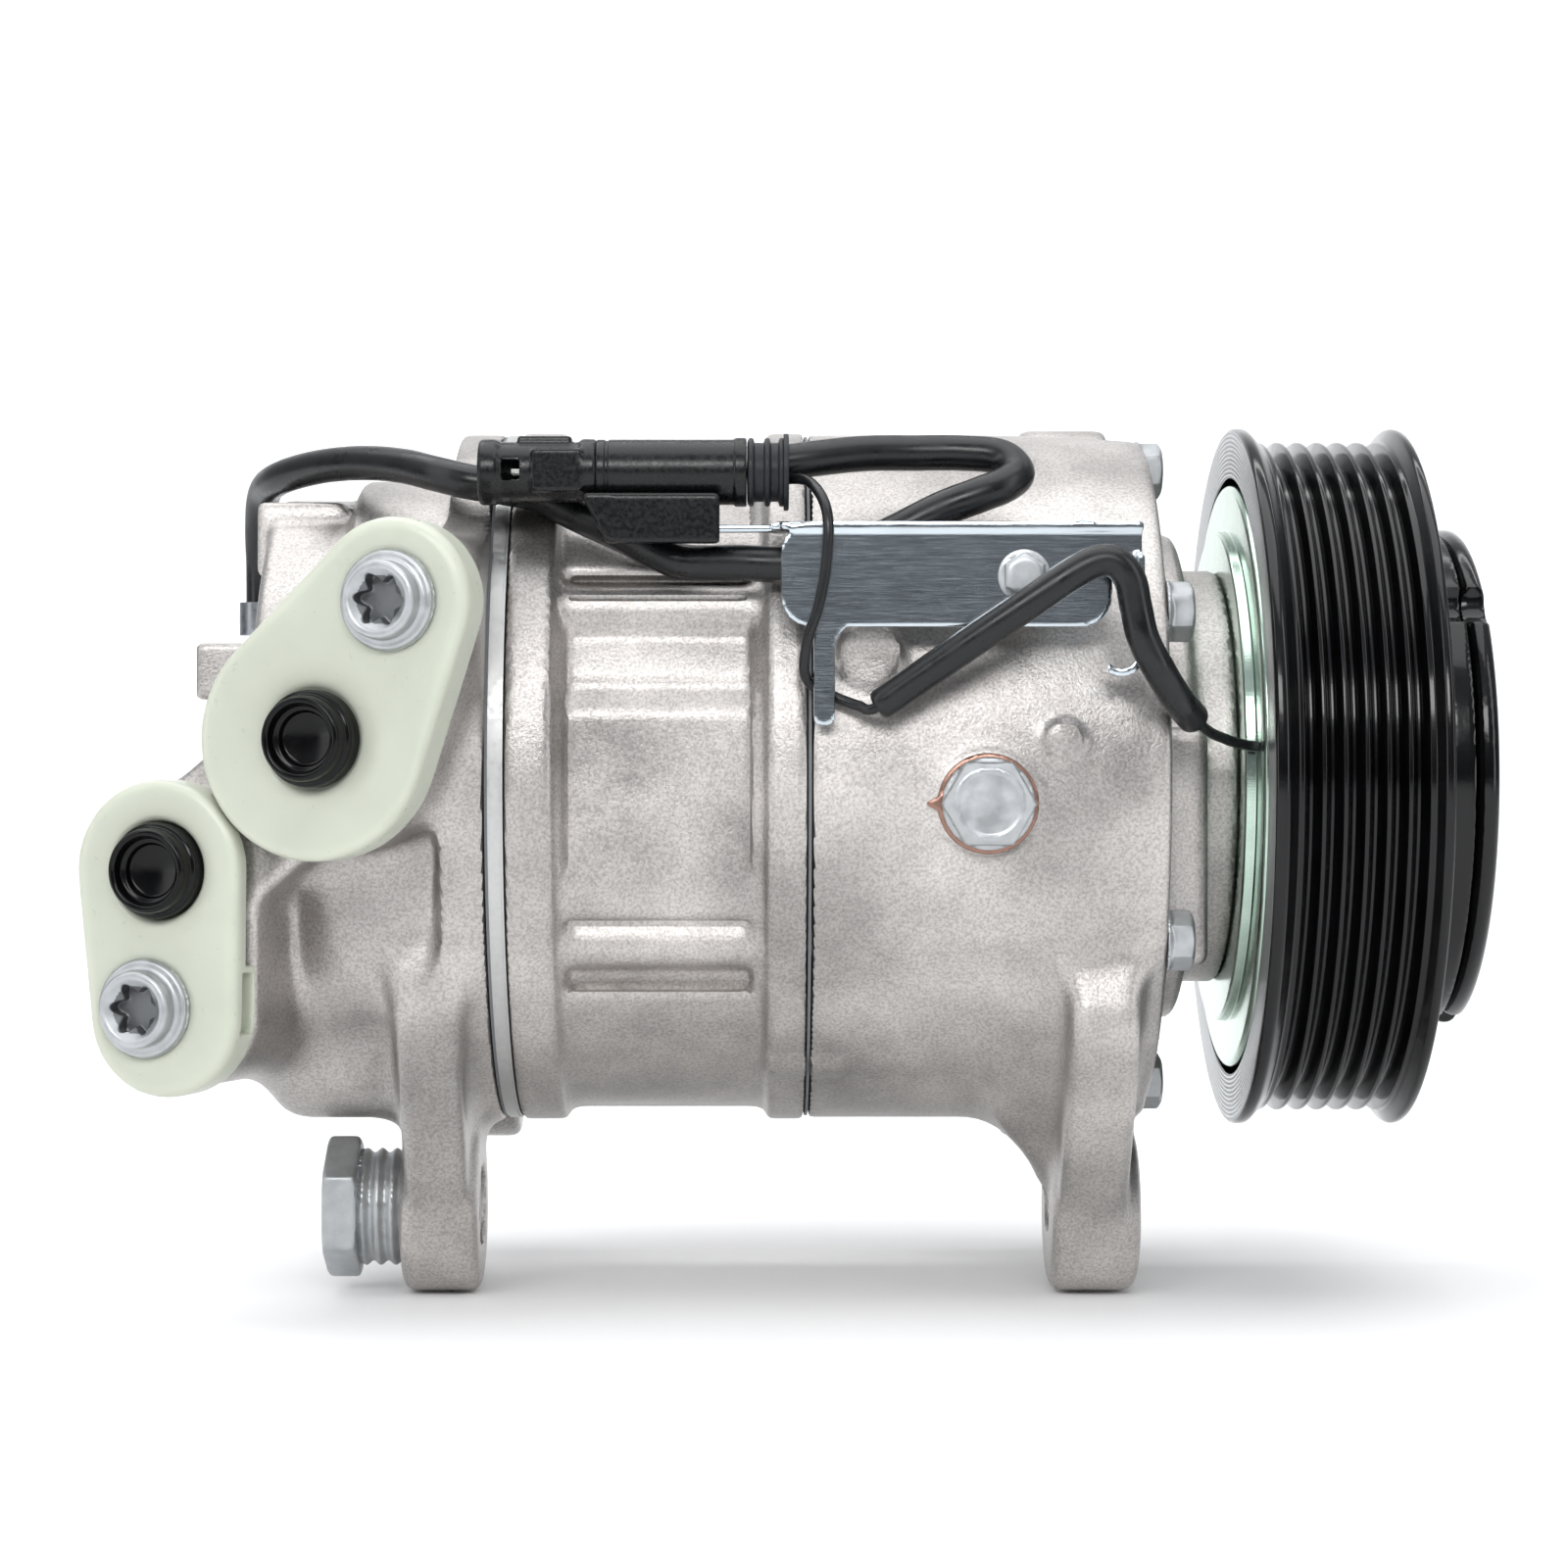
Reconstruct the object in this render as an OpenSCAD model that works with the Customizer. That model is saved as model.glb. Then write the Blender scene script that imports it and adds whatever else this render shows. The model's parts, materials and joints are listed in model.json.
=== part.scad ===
// Variable-stroke swash-plate refrigerant compressor with a magnetic clutch.
// X runs along the shaft towards the pulley, Z is up, and the ports face -Y.
// The origin lies on the shaft axis, in the middle plane of the belt grooves.

/* [Pulley and clutch] */
// Outer radius of the pulley flanges
pulley_r = 62.5; // [62:0.1:64]
// Distance between belt grooves, the PK belt standard
rib_pitch = 3.56; // [3.5:0.01:3.6]
// Number of belt grooves
grooves = 6; // [5:1:6]
// Radius of the armature and its cover
armature_r = 44.4; // [43:0.1:46]
// Gap that the clutch closes when it engages
air_gap = 0.5; // [0.3:0.05:0.6]

/* [Casings] */
// Radius of the front housing
body_r = 61.3; // [61:0.1:62]
// Radius of the cylinder block between its flanges
waist_r = 59; // [58.6:0.1:60]
// Radius of the crankcase inside the front housing
crank_r = 50.6; // [50.4:0.1:51]
// Radius of the circle that the through bolts stand on
bolt_circle_r = 55; // [54.8:0.1:55.2]
// Radius of a mounting hole, for an M8 bolt
ear_hole_r = 4.3; // [4:0.1:4.6]
// Angle that the port face is turned towards the rear
port_turn = 19; // [15:1:23]

/* [Pumping parts] */
// Radius of a cylinder bore
bore_r = 14; // [13.6:0.1:14]
// Radius of the circle that the cylinders stand on
bore_circle_r = 36; // [35.8:0.1:36]
// Running clearance round a piston
piston_gap = 0.05; // [0.02:0.01:0.08]
// Radius of the swash plate
swash_r = 44; // [43:0.1:44.4]
// Thickness of the swash plate
swash_t = 8; // [7:0.1:8]

/* [Harness] */
// Radius of the control cable
cable_r = 3; // [2.6:0.1:3.1]
// Radius of the clutch coil wire
wire_r = 0.9; // [0.7:0.1:1]
// Radius of the sleeve on the coil wire
sleeve_r = 2.65; // [2.4:0.05:2.7]

/* [Hidden] */

FINE = 96;
MID = 48;
HULL = 32;

// Stations along the shaft, from the front to the rear
hub_front_x = 25.2;
armature_x = 16.7;
friction_x = armature_x - air_gap;
rim_front_x = 14.1;
rim_rear_x = -15.5;
coil_x = -18;
coil_back_x = -16;
coil_floor_x = -13;
coil_front_x = 6;
nose_x = -26;
flange_x = -32;
front_wall_x = -39;
split_x = -91.3;
gasket_t = 0.5;
waist_front_x = -99;
waist_rear_x = -134;
block_rear_x = -142;
head_x = -145;
head_flange_x = -152.5;
head_step_x = -170;
head_rear_x = -185.3;

// Radii of turned parts
snout_r = 17.5;
bearing_r = 27.5;
shaft_r = 8;
coil_gap_r = 53.6;
coil_r = 52.4;
winding_r_in = 34.1;
winding_r_out = 49.5;
bolt_r = 3;
bolt_hole_r = 3.05;
head_r = 49.5;
head_mid_r = 53;

// The pistons, shoes and swash plate
bore_angles = [0, 60, 120, 180, 240, 300];
bolt_angles = [30, 90, 150, 210, 270, 330];
swash_x = -85.5;
shoe_r = 9.2;
shoe_gap = 0.35;
plate_tilt = 18.9;
slot_half = swash_t / 2 + 0.8;
sweep_h = 26;
swash_hub_r = 13.6;
swash_arm = [[swash_x + 3, -4, swash_hub_r + 1], [20, 8, 6]];
swash_notch = [[swash_x - 10, -4.2, 0], [11.2 - swash_t / 2, 8.4, 30]];

// Mounting ears as [y, z] of their hole
low_ear = [-14, -76];
far_ear = [46, -58];
top_ear = [38.5, 55.5];

// The port face, in its own turned frame: u along the face, z up, -y out of it
port_origin = [-180, -60, 0];
suction_port = [11.3, 6];
suction_bolt = [25.4, 28];
suction_cover_r = 19.8;
discharge_port = [-16.3, -15.4];
discharge_bolt = [-18.1, -37.9];
discharge_lobe = [-15.2, -39.1];
cover_t = 9.5;

// Blocks on the rear head, and all that lies past its gasket face, as [corner, size]
valve_block = [[-187.6, -22, 34.9], [17, 24, 13]];
port_lug = [[-195.4, -40, 13], [12, 10, 9.6]];
past_head = [[head_x, -100, -100], [60, 200, 200]];

// The harness
plate_y = -63.2;
plate_t = 1.2;
connector_y = -52;
connector_z = 50.5;

cable_route = [[-191.6, 15.2, 29], [-191.6, 15, 38], [-191.4, 12, 46], [-190, 6, 51.5],
  [-186, -4, 53.4], [-178, -14, 54.6], [-169, -24, 54.5], [-161, -33, 53.2],
  [-154.5, -39.8, 51.2], [-148.5, -43, 49.6], [-143, -43.3, 48.7], [-137, -44.2, 47.3],
  [-130, -45.9, 43.8], [-122, -48.8, 40], [-117, -49.8, 37.4], [-112, -51.2, 35.6],
  [-103, -54.3, 35.3], [-95, -56.3, 35], [-86, -56.8, 36.5], [-78, -55.8, 40],
  [-70, -55.8, 44], [-63.5, -55.5, 46.5], [-59, -54, 48.4], [-57, -51, 50.6],
  [-59.5, -48, 53.4], [-66, -46.5, 54.2], [-74, -46.5, 54.2], [-82, -48, 54],
  [-90, -50.5, 53], [-96.5, -51.6, 52]];
wire_route = [[-95.6, -54.6, 49.2], [-92, -58, 48.6], [-89.6, -64, 45.2], [-88.7, -66.6, 40.6],
  [-89.1, -66.6, 33.7], [-90.3, -66.4, 27.4], [-91.9, -65.9, 22.6], [-92.6, -64.9, 18],
  [-92, -63, 15.6], [-89.8, -62, 14], [-87.5, -62, 12.9], [-83.8, -63.4, 11.5],
  [-80.2, -65.2, 11.6]];
wire_tail = [[-29.2, -60.2, 9.6], [-26.5, -57, 7.9], [-22.5, -52, 6.2], [-18.5, -48, 5.2],
  [-16.5, -47.35, 5]];
sleeve_route = [[-80.8, -65.2, 11.2], [-72, -67.2, 17.3], [-64, -69, 22.8],
  [-56, -70.2, 28.2], [-49.8, -70.4, 32.4], [-45.5, -70.4, 34.6], [-42.4, -70.4, 34.4],
  [-40.2, -70.4, 31.6], [-39.2, -70.4, 27], [-38, -70.4, 22], [-35.4, -69.4, 17.2],
  [-32, -65.2, 12.6], [-28.5, -59.6, 9.3]];
ball_r = 3;
ball_circle_r = 22.5;
ball_rows = [-4.5, 5.5];

// The belt grooves: half widths of the flats at crest and root
rib_half = 0.35;
root_half = 0.45;
groove_depth = 3.2;
crest_r = pulley_r - 2.5;
first_groove_x = -rib_pitch * (grooves - 1) / 2;

// The return spring
spring_turns = 4;
spring_steps = 16;

// Solid of revolution about the shaft axis; points are [radius, x]
module turned(points) {
  rotate([0, 90, 0]) rotate_extrude($fn = FINE) polygon(points);
}

// Ring about the shaft axis
module ring(r_in, r_out, x0, x1) {
  translate([x0, 0, 0]) rotate([0, 90, 0]) difference() {
    cylinder(r = r_out, h = x1 - x0, $fn = FINE);
    translate([0, 0, -1]) cylinder(r = r_in, h = x1 - x0 + 2, $fn = FINE);
  }
}

// Round bar along x at [y, z]
module bar(yz, r, x0, x1, sides = MID) {
  translate([x0, yz[0], yz[1]]) rotate([0, 90, 0]) cylinder(r = r, h = x1 - x0, $fn = sides);
}

// Point at an angle from -Y, turning upwards
function polar(r, a) = [-r * cos(a), r * sin(a)];

module port_frame() {
  translate(port_origin) rotate([0, 0, -port_turn]) children();
}

// Round bar that stands out of the port face at [u, z], from y0 out to y1
module port_bar(uz, r, y0, y1, sides = MID) {
  translate([uz[0], y0, uz[1]]) rotate([90, 0, 0]) cylinder(r = r, h = y0 - y1, $fn = sides);
}

// Tube swept along a route by turning each ring square to the route
function unit(v) = v / norm(v);
function route_dir(p, i) = unit(p[min(i + 1, len(p) - 1)] - p[max(i - 1, 0)]);
function side_dir(d) = unit(cross(d, abs(d[1]) > 0.8 ? [0, 0, 1] : [0, 1, 0]));
function carried(side, d) = unit(side - d * (side * d));
function sides_along(p, i = 0, last = undef, out = []) =
  i >= len(p) ? out :
  let (d = route_dir(p, i), s = is_undef(last) ? side_dir(d) : carried(last, d))
  sides_along(p, i + 1, s, concat(out, [s]));
module tube(route, r, n) {
  s = sides_along(route);
  points = [for (i = [0:len(route) - 1]) let (d = route_dir(route, i), t = cross(d, s[i]))
    for (k = [0:n - 1]) route[i] + r * (cos(360 * k / n) * s[i] + sin(360 * k / n) * t)];
  last = (len(route) - 1) * n;
  walls = [for (i = [0:len(route) - 2]) for (k = [0:n - 1])
    let (a = i * n + k, b = i * n + (k + 1) % n) [a, a + n, b + n, b]];
  polyhedron(points, concat([[for (k = [0:n - 1]) k]], walls,
    [[for (k = [n - 1:-1:0]) last + k]]), convexity = 8);
}

// ---- casings -------------------------------------------------------------

module ear(yz, r, x0, x1, root_yz, root_r) {
  hull() {
    bar(yz, r, x0, x1, HULL);
    bar(root_yz, root_r, x0, x1, HULL);
  }
}

module bolt_holes(x0, x1) {
  for (a = bolt_angles) bar(polar(bolt_circle_r, a), bolt_hole_r, x0, x1);
}

module front_housing() {
  color("#c9c7c4") difference() {
    union() {
      turned([[crank_r, split_x], [body_r, split_x], [body_r, -46], [body_r - 0.8, -45],
        [body_r - 0.8, flange_x - 1], [body_r - 1.8, flange_x], [44, flange_x],
        [43, nose_x], [37.5, nose_x + 1.5], [37, coil_x], [snout_r, coil_x],
        [snout_r, 12.5], [16.5, 13.5], [12.5, 13.5], [12.5, -24], [10.5, -24],
        [10.5, front_wall_x], [crank_r - 6, front_wall_x], [crank_r, front_wall_x - 6]]);
      ear(low_ear, 14.5, -48.3, -33.6, [-43, -40], 13);
      ear([-14, -60], 5, -57, -48, [-40, -36], 8);
      ear(far_ear, 11, -53, -38, [44, -36], 9);
      ear(top_ear, 10, -50, -34, [28, 40], 11);
      port_boss(-56.8, 32.6, 5, -54, plate_y);
      port_boss(-62.5, -4.5, 8.6, -57, -61.6);
      port_boss(-81.7, 20, 5.3, -54, -59.6);
      port_boss(-50, 6, 3, -56, -61.8);
    }
    bolt_holes(split_x - 1, flange_x + 1);
    bar(low_ear, ear_hole_r, -60, -20);
    bar(far_ear, ear_hole_r, -60, -20);
    bar(top_ear, ear_hole_r, -60, -20);
    turned([[10, split_x - 1], [crank_r, split_x - 1], [crank_r, front_wall_x - 6],
      [crank_r - 6, front_wall_x], [10, front_wall_x]]);
    ring(snout_r - 0.9, snout_r + 3, -15.9, -14.6);
    ring(snout_r - 0.9, snout_r + 3, 10.7, 11.9);
    port_boss(-62.5, -4.5, 6.02, -40, -64);
    port_boss(-56.8, 32.6, 2.5, -53, plate_y - 2);
  }
}

// Round boss that stands out towards -Y at x, z
module port_boss(x, z, r, y0, y1) {
  translate([x, y0, z]) rotate([90, 0, 0]) cylinder(r = r, h = y0 - y1, $fn = MID);
}

module cylinder_block() {
  color("#c4c3c1") difference() {
    union() {
      ring(12, body_r + 0.3, block_rear_x, waist_rear_x);
      ring(12, waist_r, waist_rear_x, waist_front_x);
      ring(12, body_r + 0.3, waist_front_x, split_x - gasket_t);
      bar(polar(57.4, 135), 4.6, waist_rear_x - 1, waist_front_x + 1);
      bar(polar(57.4, -125), 4.6, waist_rear_x - 1, waist_front_x + 1);
    }
    bolt_holes(block_rear_x - 1, split_x + 1);
    for (a = bore_angles) bar(polar(bore_circle_r, a), bore_r, block_rear_x - 1, split_x + 1);
    translate([waist_rear_x + 2.5, -70, -22.5]) cube([30, 14.8, 33]);
    translate([waist_rear_x + 2.5, -70, -58]) cube([30, 13, 19]);
    ring(7.9, 12.6, -110, split_x + 1);
  }
}

module front_gasket() {
  color("#3a3b3d") difference() {
    ring(crank_r, body_r - 0.3, split_x - gasket_t, split_x);
    bolt_holes(split_x - 2, split_x + 1);
  }
}

module plate_disc(r, x0, x1, ports) {
  difference() {
    ring(2, r, x0, x1);
    bolt_holes(x0 - 1, x1 + 1);
    for (a = bore_angles) for (p = ports) bar(polar(p[0], a + p[1]), p[2], x0 - 1, x1 + 1);
  }
}

module suction_reed() {
  color("#9aa0a4") plate_disc(body_r - 0.2, block_rear_x - 0.4, block_rear_x, [[31, 0, 3.6]]);
}

module valve_plate() {
  color("#84888b") plate_disc(body_r, block_rear_x - 2.2, block_rear_x - 0.4,
    [[41, 0, 4.2], [29, 0, 3.2]]);
}

module discharge_reed() {
  color("#9aa0a4") plate_disc(body_r - 0.2, block_rear_x - 2.5, block_rear_x - 2.2,
    [[41, 0, 4.6]]);
}

module head_gasket() {
  color("#34363a") difference() {
    union() {
      ring(47, body_r - 0.3, head_x, block_rear_x - 2.5);
      ring(24, 27, head_x, block_rear_x - 2.5);
    }
    bolt_holes(head_x - 1, block_rear_x);
  }
}

module port_lobes(y0, y1) {
  hull() {
    port_bar(suction_port, 18.4, y0, y1, HULL);
    port_bar(suction_bolt, 12.2, y0, y1, HULL);
  }
  hull() {
    port_bar(discharge_port, 13.8, y0, y1, HULL);
    port_bar(discharge_lobe, 12.4, y0, y1, HULL);
    port_bar(suction_port, 12, y0, y1, HULL);
  }
}

module block(corner_and_size) {
  translate(corner_and_size[0]) cube(corner_and_size[1]);
}

module rear_head() {
  color("#c9c6c3") difference() {
    union() {
      turned([[0, head_rear_x], [head_r - 2, head_rear_x], [head_r, head_rear_x + 2],
        [head_r, head_step_x], [head_mid_r, head_step_x + 1.5], [head_mid_r, head_flange_x - 2],
        [body_r - 1, head_flange_x], [body_r, head_flange_x + 1], [body_r, head_x],
        [0, head_x]]);
      port_frame() port_lobes(34, -0.5);
      ear(low_ear, 14.5, -162, -149, [-40, -37], 12);
      ear(far_ear, 11, -158, -146, [43, -34], 9);
      hull() {
        bar([-22, -46], 13.5, -185, -153, HULL);
        bar([-30, -30], 13, -182, -153, HULL);
      }
      bar([16, 20], 13, head_rear_x - 2, head_rear_x + 4);
      bar([24, -26], 8, head_rear_x - 3, head_rear_x + 4);
      block(valve_block);
      block(port_lug);
    }
    block(past_head);
    bolt_holes(-151.6, head_x + 1);
    bar(low_ear, 7, -170, -140);
    bar(far_ear, ear_hole_r, -165, -140);
    turned([[28, head_x + 1], [46, head_x + 1], [46, -163], [44, -166], [28, -166]]);
    ring(4, 23, -168, head_x + 1);
    port_frame() port_bar(suction_port, 7.2, 22, -2);
    port_frame() port_bar(discharge_port, 6.2, 22, -2);
    port_frame() port_bar(suction_bolt, 3.05, 12, -2);
    port_frame() port_bar(discharge_bolt, 3.05, 12, -2);
    bar([16, 20], 9, head_rear_x - 4, -172.5);
    bar([24, -26], 5, head_rear_x - 5, -172);
  }
}

// ---- fasteners and small fittings -----------------------------------------

module hex(af, h) {
  cylinder(d = af / cos(30), h = h, $fn = 6);
}

module through_bolts() {
  color("#b9bcc0") for (a = bolt_angles) {
    bar(polar(bolt_circle_r, a), bolt_r, -151.2, flange_x + 1);
    bar(polar(bolt_circle_r, a), 5.6, flange_x, flange_x + 1.1);
    translate([flange_x + 1, polar(bolt_circle_r, a)[0], polar(bolt_circle_r, a)[1]])
      rotate([0, 90, 0]) hex(9, 3.8);
  }
}

module cover_shape(port, bolt_lobe, port_lobe_r, bolt_lobe_r) {
  hull() {
    port_bar(port, port_lobe_r, -0.8, -cover_t, HULL);
    port_bar(bolt_lobe, bolt_lobe_r, -0.8, -cover_t, HULL);
  }
}

module suction_cover() {
  color("#e6e7da") port_frame() difference() {
    union() {
      cover_shape(suction_port, suction_bolt, suction_cover_r, 13.5);
      port_bar(suction_port, 7, 9, -3);
    }
    port_bar(suction_port, 5.9, 10, -cover_t - 1);
    port_bar(suction_port, 8, -cover_t + 3, -cover_t - 1);
    port_bar(suction_bolt, 3.3, 1, -cover_t - 1);
  }
}

module discharge_cover() {
  color("#e6e7da") port_frame() difference() {
    union() {
      cover_shape(discharge_port, discharge_lobe, 14.8, 13.4);
      port_bar(discharge_port, 6, 9, -3);
    }
    port_bar(suction_port, suction_cover_r + 0.4, 2, -cover_t - 2);
    port_bar(discharge_port, 5, 10, -cover_t - 1);
    port_bar(discharge_port, 8, -cover_t + 3, -cover_t - 1);
    port_bar(discharge_bolt, 3.3, 1, -cover_t - 1);
  }
}

module port_plug(port, stem_r) {
  difference() {
    union() {
      port_bar(port, 7.9, -cover_t + 2.95, -cover_t - 1.6);
      port_bar(port, 6.6, -cover_t, -cover_t - 3.4);
      port_bar(port, stem_r, 6, -cover_t + 2.9);
    }
    port_bar(port, 5, -cover_t - 2.2, -cover_t - 5);
  }
}

module port_plugs() {
  color("#101113") port_frame() {
    port_plug(suction_port, 5.8);
    port_plug(discharge_port, 4.9);
  }
}

module star_socket(d, y0, y1) {
  for (k = [0:2]) rotate([0, 60 * k, 0]) translate([-d / 2, y1, -d / 6.5])
    cube([d, y0 - y1, d / 3.25]);
}

module cover_bolt(uz) {
  port_bar(uz, 3, 10, -cover_t - 1);
  port_bar(uz, 8, -cover_t, -cover_t - 1.1);
  difference() {
    port_bar(uz, 6.3, -cover_t - 1, -cover_t - 4.4);
    translate([uz[0], 0, uz[1]]) star_socket(8, -cover_t - 2, -cover_t - 6);
  }
}

module cover_bolts() {
  color("#bfc2c5") port_frame() {
    cover_bolt(suction_bolt);
    cover_bolt(discharge_bolt);
  }
}

module drain_plug() {
  color("#c8c4bd") translate([-62.5, 0, -4.5]) rotate([90, 0, 0]) {
    translate([0, 0, 50]) cylinder(r = 6, h = 14, $fn = MID);
    translate([0, 0, 62.9]) cylinder(r = 7.6, h = 0.9, $fn = MID);
    translate([0, 0, 63.7]) rotate([0, 0, 30]) hex(13.5, 3.6);
  }
}

module drain_washer() {
  color("#b8743f") difference() {
    union() {
      port_boss(-62.5, -4.5, 8.2, -61.6, -62.9);
      translate([-72.6, -62.9, -6]) cube([4, 1.3, 3]);
    }
    port_boss(-62.5, -4.5, 6.05, -60, -64);
  }
}

module relief_valve() {
  color("#b9b08f") {
    bar([24, -26], 4.95, -186, -173);
    translate([-190.5, 24, -26]) rotate([0, 90, 0]) hex(13, 2.2);
    bar([24, -26], 3.2, -192.5, -190.4);
  }
}

module control_valve() {
  color("#8d9094") {
    bar([16, 20], 8.95, -193, -173);
    bar([16, 20], 6, -173.2, -172.6);
    translate([-191.6, 15.2, 26]) cylinder(r = 4.2, h = 6, $fn = MID);
  }
}

module mount_sleeve() {
  color("#aab0ae") difference() {
    union() {
      bar(low_ear, 6.97, -164, -149.4);
      bar(low_ear, 10.4, -170.2, -162.2);
      translate([-176, low_ear[0], low_ear[1]]) rotate([0, 90, 0]) hex(21.6, 6);
    }
    bar(low_ear, ear_hole_r, -178, -148);
  }
}

// ---- harness ----------------------------------------------------------------

module flat_xz(y0, y1) {
  translate([0, y1, 0]) rotate([90, 0, 0]) linear_extrude(y1 - y0) children();
}

module round_end(x, z, r) {
  translate([x, z]) circle(r = r, $fn = MID);
}

module harness_bracket() {
  color("#b4bdc2") difference() {
    union() {
      flat_xz(plate_y - plate_t, plate_y) difference() {
        union() {
          translate([-96.4, 27.5]) square([59, 13.1]);
          translate([-93.2, 24.3]) square([47.6, 8]);
          round_end(-45.6, 27.5, 3.2);
          round_end(-93.2, 27.5, 3.2);
          translate([-91.1, 9.8]) square([3.5, 16]);
          round_end(-89.35, 9.9, 1.75);
          translate([-91.1, 20]) square([8, 6]);
        }
        round_end(-83, 20.4, 4.6);
        translate([-45.6, 20]) square([3.4, 4.3]);
      }
      translate([-96.4, plate_y - plate_t, 40.2]) cube([59, 5.2, 1.2]);
      translate([-112, plate_y + 5.6, 40.2]) cube([17, 3.4, 1.2]);
      translate([-98, plate_y, 40.2]) cube([5, 9, 1.2]);
      translate([-41, plate_y - plate_t, 24]) cube([3.6, plate_t, 8]);
      translate([-38.6, plate_y - 4.2, 20]) cube([1.2, 4.8, 14]);
      translate([-41.2, plate_y - 4.2, 20]) rotate([-90, 0, 0]) rotate_extrude(angle = 110,
        $fn = MID) translate([2.6, 0]) square([1.2, 4.8]);
    }
    port_boss(-56.8, 32.6, 2.6, plate_y + 2, plate_y - 4);
  }
}

module bracket_screw() {
  color("#c5c9cc") {
    port_boss(-56.8, 32.6, 2.45, -54, plate_y - plate_t);
    port_boss(-56.8, 32.6, 4.3, plate_y - plate_t, plate_y - plate_t - 0.7);
    translate([-56.8, plate_y - plate_t - 0.6, 32.6]) rotate([90, 0, 0]) hex(6.4, 2);
  }
}

module lead(r, x0, x1) {
  bar([connector_y, connector_z], r, x0, x1);
}

module connector_plug() {
  color("#1b1c1f") difference() {
    union() {
      lead(5, -146.3, -127);
      lead(5.35, -146.3, -143.6);
      translate([-140, connector_y - 2.2, connector_z + 4]) cube([9, 4.4, 1.9]);
      lead(5.5, -129.5, -127);
    }
    lead(3.9, -147, -131);
  }
}

module connector_sleeve() {
  color("#1b1c1f") {
    lead(5.45, -127, -102);
    lead(5.75, -104, -102);
  }
}

module connector_seal() {
  color("#25272a") {
    for (x = [-101.9, -99.2, -96.8]) lead(5.7, x, x + 1.3);
    lead(5, -102, -95.3);
    lead(6.4, -96, -95);
  }
}

module connector_clip() {
  color("#17181a") difference() {
    union() {
      translate([-129, -58.5, 38.5]) cube([22.5, 5.3, 8.2]);
      translate([-124, -54.4, 44]) cube([15, 1.2, 6]);
    }
    lead(5.5, -130, -100);
    translate([-130, -57.8, 40]) cube([30, 6, 1.6]);
  }
}

module connector_pins() {
  color("#c9ccc6") for (y = [-1.6, 1.6]) {
    translate([-141, connector_y + y - 0.5, connector_z - 0.4]) cube([10, 1, 0.8]);
  }
}

module control_cable() {
  color("#26282b") tube(cable_route, cable_r, 12);
}

module coil_wire() {
  color("#1c1e21") {
    tube(wire_route, wire_r, 8);
    tube(wire_tail, wire_r, 8);
  }
}

module lead_sleeve() {
  color("#2b2d31") tube(sleeve_route, sleeve_r, 10);
}

// ---- clutch -------------------------------------------------------------------

module coil_shell() {
  color("#b9c6ba") turned([[snout_r + 0.1, coil_x], [44, coil_x], [44, coil_back_x],
    [coil_r, coil_back_x], [coil_r, coil_front_x], [winding_r_out + 0.1, coil_front_x],
    [winding_r_out + 0.1, coil_floor_x], [winding_r_in - 0.1, coil_floor_x],
    [winding_r_in - 0.1, coil_front_x], [31.5, coil_front_x], [31.5, coil_back_x],
    [snout_r + 0.1, coil_back_x]]);
}

module coil_winding() {
  color("#8a4b2a") ring(winding_r_in, winding_r_out, coil_floor_x + 0.1, coil_front_x - 2);
}

module open_ring(r_in, r_out, x0, x1) {
  difference() {
    ring(r_in, r_out, x0, x1);
    translate([x0 - 1, -3, 0]) cube([x1 - x0 + 2, 6, r_out + 2]);
  }
}

module snap_rings() {
  color("#7d8286") {
    open_ring(snout_r - 0.8, snout_r + 2.8, -15.8, -14.7);
    open_ring(snout_r - 0.8, snout_r + 2.4, 10.8, 11.8);
  }
}

module raceways() {
  for (x = ball_rows) translate([x, 0, 0]) rotate([0, 90, 0]) rotate_extrude($fn = FINE)
    translate([ball_circle_r, 0]) circle(r = ball_r + 0.3, $fn = MID);
}

module bearing_inner_race() {
  color("#9fa4a8") difference() {
    ring(snout_r, 20.3, -9.5, 10.5);
    raceways();
  }
}

module bearing_outer_race() {
  color("#9fa4a8") difference() {
    ring(24.7, bearing_r, -9.5, 10.5);
    raceways();
  }
}

module balls(r) {
  for (x = ball_rows) for (k = [0:11]) {
    yz = polar(ball_circle_r, 30 * k);
    translate([x, yz[0], yz[1]]) sphere(r = r, $fn = HULL);
  }
}

module bearing_balls() {
  color("#c9cdd1") balls(ball_r);
}

module bearing_cage() {
  color("#a58b4a") difference() {
    ring(21.7, 23.3, -8.4, 9.4);
    balls(ball_r + 0.3);
  }
}

module pulley() {
  groove_points = [for (g = [0:grooves - 1]) let (x = first_groove_x + g * rib_pitch)
    for (p = [[crest_r, -rib_pitch / 2 + rib_half], [crest_r - groove_depth, -root_half],
      [crest_r - groove_depth, root_half], [crest_r, rib_pitch / 2 - rib_half]])
    [p[0], x + p[1]]];
  color("#17181b") difference() {
    turned(concat([[bearing_r, -10.5], [30.6, -10.5], [30.6, 8.6], [coil_gap_r, 8.6],
      [coil_gap_r, rim_rear_x], [pulley_r - 0.8, rim_rear_x], [pulley_r, rim_rear_x + 0.8],
      [pulley_r, -13.2], [crest_r, -11.2]], groove_points,
      [[crest_r, 11.2], [pulley_r, 12.6], [pulley_r - 0.6, rim_front_x],
      [56, rim_front_x], [54, 13], [47, 13], [46, friction_x], [30, friction_x],
      [29, 14], [bearing_r, 14]]));
    for (k = [0:5]) {
      web_slot(35.5, 60 * k, 46);
      web_slot(40.5, 60 * k + 30, 46);
    }
  }
}

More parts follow.
